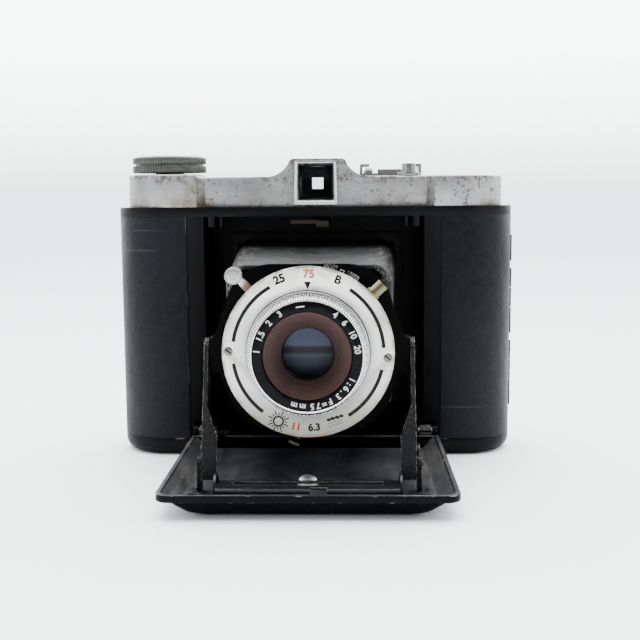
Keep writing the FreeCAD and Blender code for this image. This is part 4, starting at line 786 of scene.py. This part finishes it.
def make_bellows(material):
    """Pleated leathercloth: where the top and bottom stand out the sides tuck in, so the corners fold."""
    low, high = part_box("bellows")
    back, front = high.y, low.y
    rng = random.Random(RANDOM_SEED)
    rings, ridges = [], []
    for i in range(2 * FOLDS + 1):
        share = i / (2 * FOLDS)
        out = i % 2 == 0
        outline = pleat_outline(BACK_HALF + (FRONT_HALF - BACK_HALF) * share, out)
        rings.append(pleat_ring(outline, back + (front - back) * share, rng))
        ridges.append(1.0 if out else 0.0)
    middle = Vector((0.0, front, LENS_Z))
    rings.append([middle + (point - middle) * CLOSING_RING for point in rings[-1]])
    ridges.append(CLOSING_RIDGE)
    for point in rings[-1]:
        point.y = front + 0.1 * MM
    count = len(rings[0])
    mesh = bpy.data.meshes.new("bellows_pleats")
    mesh.from_pydata([v for ring in rings for v in ring], [], woven(len(rings), count, closed=False))
    mesh.update()
    layer = mesh.attributes.new("ridge", "FLOAT", "POINT")
    for i, value in enumerate(ridges):
        for k in range(count):
            layer.data[i * count + k].value = value
    piece = bpy.data.objects.new("bellows_pleats", mesh)
    bpy.context.scene.collection.objects.link(piece)
    thick = piece.modifiers.new("thickness", "SOLIDIFY")
    thick.thickness = CLOTH_THICKNESS
    thick.offset = -1
    soft = piece.modifiers.new("soft", "SUBSURF")
    soft.levels = soft.render_levels = 1
    apply_modifiers(piece)
    for polygon in piece.data.polygons:
        polygon.use_smooth = True
    piece.data.materials.clear()
    piece.data.materials.append(material)
    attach(piece, "body")
    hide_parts("bellows")
    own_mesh(piece)


def apply_modifiers(piece):
    """Makes the modified shape the piece's own mesh."""
    graph = bpy.context.evaluated_depsgraph_get()
    mesh = bpy.data.meshes.new_from_object(piece.evaluated_get(graph))
    piece.modifiers.clear()
    old = piece.data
    piece.data = mesh
    bpy.data.meshes.remove(old)


# ---- marks on the shutter ------------------------------------------------------------
def clock(radius, angle, y):
    """A point at a clock angle round the lens axis, clockwise from the top as the lens is looked at."""
    turn = math.radians(angle)
    return Vector((radius * math.sin(turn), y, LENS_Z + radius * math.cos(turn)))


def flat_piece(name, outlines, thickness, y, material, body):
    """Thin raised marks: each outline is a list of (x, z) points on the plate, in metres."""
    shape = bmesh.new()
    for outline in outlines:
        front = [shape.verts.new((x, y - thickness, z)) for x, z in outline]
        back = [shape.verts.new((x, y + thickness, z)) for x, z in outline]
        shape.faces.new(front)
        shape.faces.new(list(reversed(back)))
        for i in range(len(outline)):
            j = (i + 1) % len(outline)
            shape.faces.new((front[j], front[i], back[i], back[j]))
    bmesh.ops.recalc_face_normals(shape, faces=shape.faces)
    mesh = bpy.data.meshes.new(name)
    shape.to_mesh(mesh)
    shape.free()
    return new_object(name, mesh, material, body)


def arc_outline(inner, outer, start, end):
    """A band round the lens between two clock angles."""
    steps = max(3, int(abs(end - start) / 2))
    angles = [start + (end - start) * i / steps for i in range(steps + 1)]
    points = [clock(outer, a, 0) for a in angles] + [clock(inner, a, 0) for a in reversed(angles)]
    return [(p.x, p.z) for p in points]


def lettering(name, entries, y, thickness, material, body, weight=PLATE_TEXT_WEIGHT):
    """Numbers round the lens; an entry is text, clock angle, radius, height, and if its foot is outward."""
    pieces = []
    for text, angle, radius, height, foot_out in entries:
        curve = bpy.data.curves.new(name, "FONT")
        curve.body = text
        curve.size = height * FONT_SIZE_PER_HEIGHT
        curve.align_x = "CENTER"
        curve.align_y = "CENTER"
        curve.extrude = thickness
        curve.offset = weight
        curve.resolution_u = 4
        glyph = bpy.data.objects.new(name, curve)
        bpy.context.scene.collection.objects.link(glyph)
        lean = math.radians(angle + (180.0 if foot_out else 0.0))
        place = clock(radius, angle, y)
        glyph.matrix_world = (Matrix.Translation(place) @ Matrix.Rotation(lean, 4, "Y")
                              @ Matrix.Rotation(math.radians(90), 4, "X"))
        pieces.append(glyph)
    bpy.context.view_layer.update()
    shape = bmesh.new()
    graph = bpy.context.evaluated_depsgraph_get()
    for glyph in pieces:
        mesh = bpy.data.meshes.new_from_object(glyph.evaluated_get(graph))
        mesh.transform(glyph.matrix_world)
        shape.from_mesh(mesh)
        bpy.data.meshes.remove(mesh)
    for glyph in pieces:
        bpy.data.objects.remove(glyph)
    bmesh.ops.remove_doubles(shape, verts=shape.verts, dist=1e-6)
    mesh = bpy.data.meshes.new(name)
    shape.to_mesh(mesh)
    shape.free()
    return new_object(name, mesh, material, body)


def plate_marks(black, red, faded_red):
    """Speeds, stops and their arcs on the shutter's face."""
    y, proud = PLATE_LOW.y, PLATE_MARK_PROUD
    body, slot = "standard", "plate_silver"
    arcs = [(-81.6, -29.7), (33.7, 86.7), (-142.7, -98.2), (103.4, 148.0)]
    outlines = [arc_outline(ARC_INNER, ARC_OUTER, a, b) for a, b in arcs]
    flat_piece("plate_arcs", outlines, proud, y, black, body)
    corners = [clock(INDEX_FOOT, -2.9, 0), clock(INDEX_FOOT, 2.9, 0), clock(INDEX_TIP, 0, 0)]
    flat_piece("speed_index", [[(p.x, p.z) for p in corners]], proud, y, black, body)
    for name, texts, radius, height, foot_out, paint in (
            ("speed_numbers", (("25", -20.9), ("B", 22.5)), SPEED_RADIUS, SPEED_HEIGHT, False, black),
            ("speed_number_75", (("75", 0.9),), SPEED_RADIUS, SPEED_HEIGHT, False, faded_red),
            ("stop_number_63", (("6.3", 175.8),), STOP_RADIUS, STOP_HEIGHT, True, black),
            ("stop_number_11", (("11", 189.6),), STOP_RADIUS, STOP_HEIGHT, True, red)):
        entries = [(text, angle, radius, height, foot_out) for text, angle in texts]
        lettering(name, entries, y, proud, paint, body)
    outlines = sun_outlines(clock(SUN_RADIUS, SUN_ANGLE, 0))
    outlines += cloud_outlines(clock(CLOUD_RADIUS, CLOUD_ANGLE, 0))
    flat_piece("weather_signs", outlines, proud, y, black, body)
    screw_slots(black)


def around(centre, radius, turn):
    """An (x, z) point round a centre; radius in millimetres, turn in radians from the top."""
    return centre.x + radius * MM * math.sin(turn), centre.z + radius * MM * math.cos(turn)


def sun_outlines(centre):
    """Bright weather: a ring with short and long rays."""
    outer, inner, ray_foot = 1.62, 1.14, 1.75
    steps, rays = 20, 16
    outlines = []
    for i in range(steps):
        a, b = 2 * math.pi * i / steps, 2 * math.pi * (i + 1) / steps
        outlines.append([around(centre, r, t) for r, t in ((outer, a), (outer, b), (inner, b), (inner, a))])
    for i in range(rays):
        turn = 2 * math.pi * i / rays + 0.1
        tip = 3.2 if i % 2 else 2.6
        ray = [(ray_foot, turn - 0.10), (tip, turn - 0.045), (tip, turn + 0.045), (ray_foot, turn + 0.10)]
        outlines.append([around(centre, r, t) for r, t in ray])
    return outlines


def cloud_outlines(centre):
    """Dull weather: a bank of four puffs with two rows of rain under it, in millimetres."""
    puffs = ((-2.0, 0.55, 1.3, 0.42), (-0.9, 0.95, 1.5, 0.46), (0.4, 1.30, 1.5, 0.46), (1.6, 1.70, 1.3, 0.42))
    drop = ((0.0, 0.0), (0.24, 0.0), (-0.02, -0.55), (-0.26, -0.55))
    steps, rows, drops = 10, 2, 5
    outlines = []
    for x, z, wide, high in puffs:
        turns = [2 * math.pi * i / steps for i in range(steps)]
        outlines.append([(x + wide * 0.5 * math.cos(turn), z + high * math.sin(turn)) for turn in turns])
    for row in range(rows):
        for i in range(drops):
            x, z = -2.0 + 0.85 * i + 0.35 * row, -0.25 - 0.75 * row + 0.26 * i
            outlines.append([(x + p, z + q) for p, q in drop])
    return [[(centre.x + x * MM, centre.z + z * MM) for x, z in outline] for outline in outlines]


def screw_slots(black):
    """Painted shade in the slots of the two face screws."""
    low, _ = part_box("plate_screws")
    half_length, half_width = 1.0 * MM, 0.16 * MM
    corners = ((-1, -1), (-1, 1), (1, 1), (1, -1))
    outlines = []
    for angle in SCREW_ANGLES:
        at = clock(SCREW_RADIUS, angle, 0)
        lean = math.radians(35 + angle)
        along = Vector((math.sin(lean), math.cos(lean))) * half_length
        across = Vector((math.cos(lean), -math.sin(lean))) * half_width
        middle = Vector((at.x, at.z))
        outlines.append([tuple(middle + along * a + across * b) for a, b in corners])
    # Dark strips as painted shade where the slots lie.
    flat_piece("screw_slot_shade", outlines, 0.02 * MM, low.y, black, "standard")


def ring_marks(white):
    """Generic data round the lens: its aperture, its focal length and a plain distance scale."""
    y, proud = RING_LOW.y, RING_MARK_PROUD
    texts = [(letter, 117.5 + 6.2 * i) for i, letter in enumerate("1:6.3")]
    texts += [("F", 153.0), ("=", 160.5), ("7", 167.5), ("5", 174.5), ("m", 185.5), ("m", 195.5)]
    texts += [("1", -84), ("1.5", -66), ("2", -48), ("3", -32), ("4", 34), ("6", 48), ("10", 64), ("20", 82)]
    entries = [(text, angle, RING_TEXT_RADIUS, RING_TEXT_HEIGHT, False) for text, angle in texts]
    lettering("ring_numbers", entries, y, proud, white, "focus_ring",
              RING_TEXT_WEIGHT)
    dash = arc_outline(DASH_INNER, DASH_OUTER, -12.0, -2.5)
    flat_piece("ring_dash", [dash], proud, y, white, "focus_ring")


# ---- build the looks -----------------------------------------------------------------
def make_body(paint, leather, nickel, steel, dark):
    """Body, back and everything for the film."""
    hook = plated("dark_steel", (0.034, 0.026, 0.021), 0.45, (0.06, 0.036, 0.02))
    refine_all((
        ("body_shell", paint, "body_paint", 0.35),
        ("base_plate", paint, "body_paint", 0.3),
        ("leather_left", leather, "leather_covering", 0.25),
        ("leather_right", leather, "leather_covering", 0.25),
        ("back_cover", paint, "inner_black", 0.2),
        ("back_leather", leather, "leather_covering", 0.25),
        ("film_gate", dark, "inner_black", 0.2),
        ("take_up_spool", dark, "spool_paint", 0.2),
        ("pressure_plate", dark, "inner_black", 0.15),
        ("film_roller_left", steel, "steel", 0.12),
        ("film_roller_right", steel, "steel", 0.12),
        ("hinge_pins", steel, "steel", 0.12),
        ("spool_pins", steel, "steel", 0.12),
        ("pressure_springs", steel, "steel", 0.12),
        ("window_frame", nickel, "bright_nickel", 0.12),
        ("back_latch", nickel, "bright_nickel", 0.12),
        ("bed_latch_hook", hook, "bright_nickel", 0.12),
        ("window_cover", dark, "inner_black", 0.12)))


def make_top(silver, nickel, knob, dark, steel):
    """Top cover, finder, shoe, knob and buttons."""
    refined("top_housing", silver, 0.45, 3)
    refined("winding_knob", knob, 0.07, 1)
    refined("finder_frame", nickel, 0.15)
    greyed = plated("greyed_nickel", (0.20, 0.20, 0.19), 0.34, (0.09, 0.075, 0.055), 0.6)
    for node in ("accessory_shoe", "shoe_screws", "button_collar", "release_button", "bed_release_button"):
        refined(node, greyed, 0.15)
    refined("shoe_spring", steel, 0.08)
    carried("finder_tunnel", dark)


def make_bed(paint, leather, crinkle):
    """Bed, latch bar, struts and links; the bed is leather outside and, inside, dusty with a painted sheen.
    """
    bed = refined("bed_plate", paint, 0.4, 3)
    covering_top = 5.1 * MM
    second_material(bed, leather, lambda centre, normal: centre.z < covering_top and normal.z < 0.1)
    low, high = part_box("bed_plate")
    first_y, last_x = low.y + 2.2 * MM, high.x - 2.4 * MM
    # The inside faces that look upwards get dust and a painted sheen.
    second_material(bed, dust_and_painted_sheen(), lambda centre, normal: normal.z > 0.12 and centre.y > first_y
                    and abs(centre.x) < last_x)
    bar = refined("bed_latch_bar", black_enamel("worn_bar", 1.4, 0.3, 0.008, 0.6, 0.3), 0.22)
    spring, bar_end = plated("spring_steel", (0.03, 0.03, 0.03), 0.32), 25.3 * MM
    second_material(bar, spring, lambda centre, normal: abs(centre.x) > bar_end)
    refined("bed_rivet", plated("rivet_nickel", (0.85, 0.85, 0.84), 0.45), 0.2)
    refined("strut_brackets", crinkle, 0.15)
    for side in ("left", "right"):
        refined("front_strut_" + side, crinkle, 0.15)
        refined("rear_link_" + side, crinkle, 0.15)


def on_pointer(centre, normal):
    """True on the bright pointer of the speed ring, between two clock angles on its front."""
    angle = math.degrees(math.atan2(centre.x, centre.z - LENS_Z))
    return POINTER_FROM < angle < POINTER_TO and normal.y < -0.2


def make_lens(nickel, brass, dark):
    """Lens board, shutter, lens and glasses."""
    screw = plated("screw_nickel", (0.13, 0.125, 0.11), 0.3)
    lever_brass = plated("dark_brass", (0.030, 0.027, 0.017), 0.35)
    refine_all((
        ("standard_board", matt_black("board_paint", 0.0010, 0.03), "inner_black", 0.2),
        ("shutter_housing", dark, "inner_black", 0.15),
        ("lens_mount_tube", dark, "inner_black", 0.1),
        ("face_plate", satin_plate(), "plate_silver", 0.18),
        ("plate_screws", screw, "bright_nickel", 0.06),
        ("cable_release_socket", brass, "brass_parts", 0.12),
        ("aperture_lever", lever_brass, "brass_parts", 0.06)))
    ring = refined("speed_ring", black_enamel("ring_enamel", 1.1, bare_shade=0.4), 0.08)
    second_material(ring, nickel, on_pointer)
    lever = lever_steel()
    refined("shutter_lever", lever, 0.08)
    make_knob_rings(lever)
    refined("rear_lens_cell", dark, 0.1)
    refined("front_cell", dark, 0.1)
    refined("focus_ring", ring_silver(), 0.06, 1)
    refined("name_ring", gloss_black(), 0.12)
    refined("baffle_cone", cone_paint(), 0.04, 1)
    blade = blade_steel()
    refined("shutter_blade_lower", blade, 0.04, 1)
    refined("shutter_blade_upper", blade, 0.04, 1)
    glass = coated_glass("lens_glass", (0.0, 0.0, 0.0), 0.03, shine=0.0)
    make_front_glass(glass)
    for node in ("middle_lens", "rear_lens"):
        carried(node, glass)
    clear = coated_glass("finder_glass", (0.0, 0.0, 0.0), 0.1)
    for node in ("finder_front_lens", "finder_rear_lens"):
        carried(node, clear)
    refined("red_window", coated_glass("red_glass", (0.30, 0.008, 0.004), 0.85), 0.1)
    refined("tripod_bush", brass, 0.2)


def main():
    make_camera()
    make_studio()
    nickel = plated("bright_nickel", (0.52, 0.52, 0.50), 0.24)
    steel = plated("bright_steel", (0.42, 0.42, 0.41), 0.32)
    brass = plated("worn_brass", (0.115, 0.105, 0.058), 0.36, (0.05, 0.04, 0.022), 0.7)
    dark = matt_black("matt_black")
    paint = black_enamel("black_enamel")
    crinkle = crinkle_paint()
    leather = black_leather("black_leather")
    make_body(paint, leather, nickel, steel, dark)
    make_top(satin_silver(), nickel, knob_metal(), dark, steel)
    bed_enamel = black_enamel("bed_enamel", 0.5, 0.36, 0.0022, 0.16, 0.05)
    # The bed's leather is a darker copy of the covering, as painted shade.
    make_bed(bed_enamel, black_leather("bed_leather", 0.4, 0.03), crinkle)
    make_lens(nickel, brass, dark)
    make_bellows(bellows_cloth())
    plate_marks(paint_fill("black_fill", (0.006, 0.006, 0.006)), paint_fill("red_fill", (0.30, 0.022, 0.014)),
                paint_fill("faded_red", (0.38, 0.11, 0.09)))
    ring_marks(paint_fill("white_fill", (0.48, 0.48, 0.47)))


main()
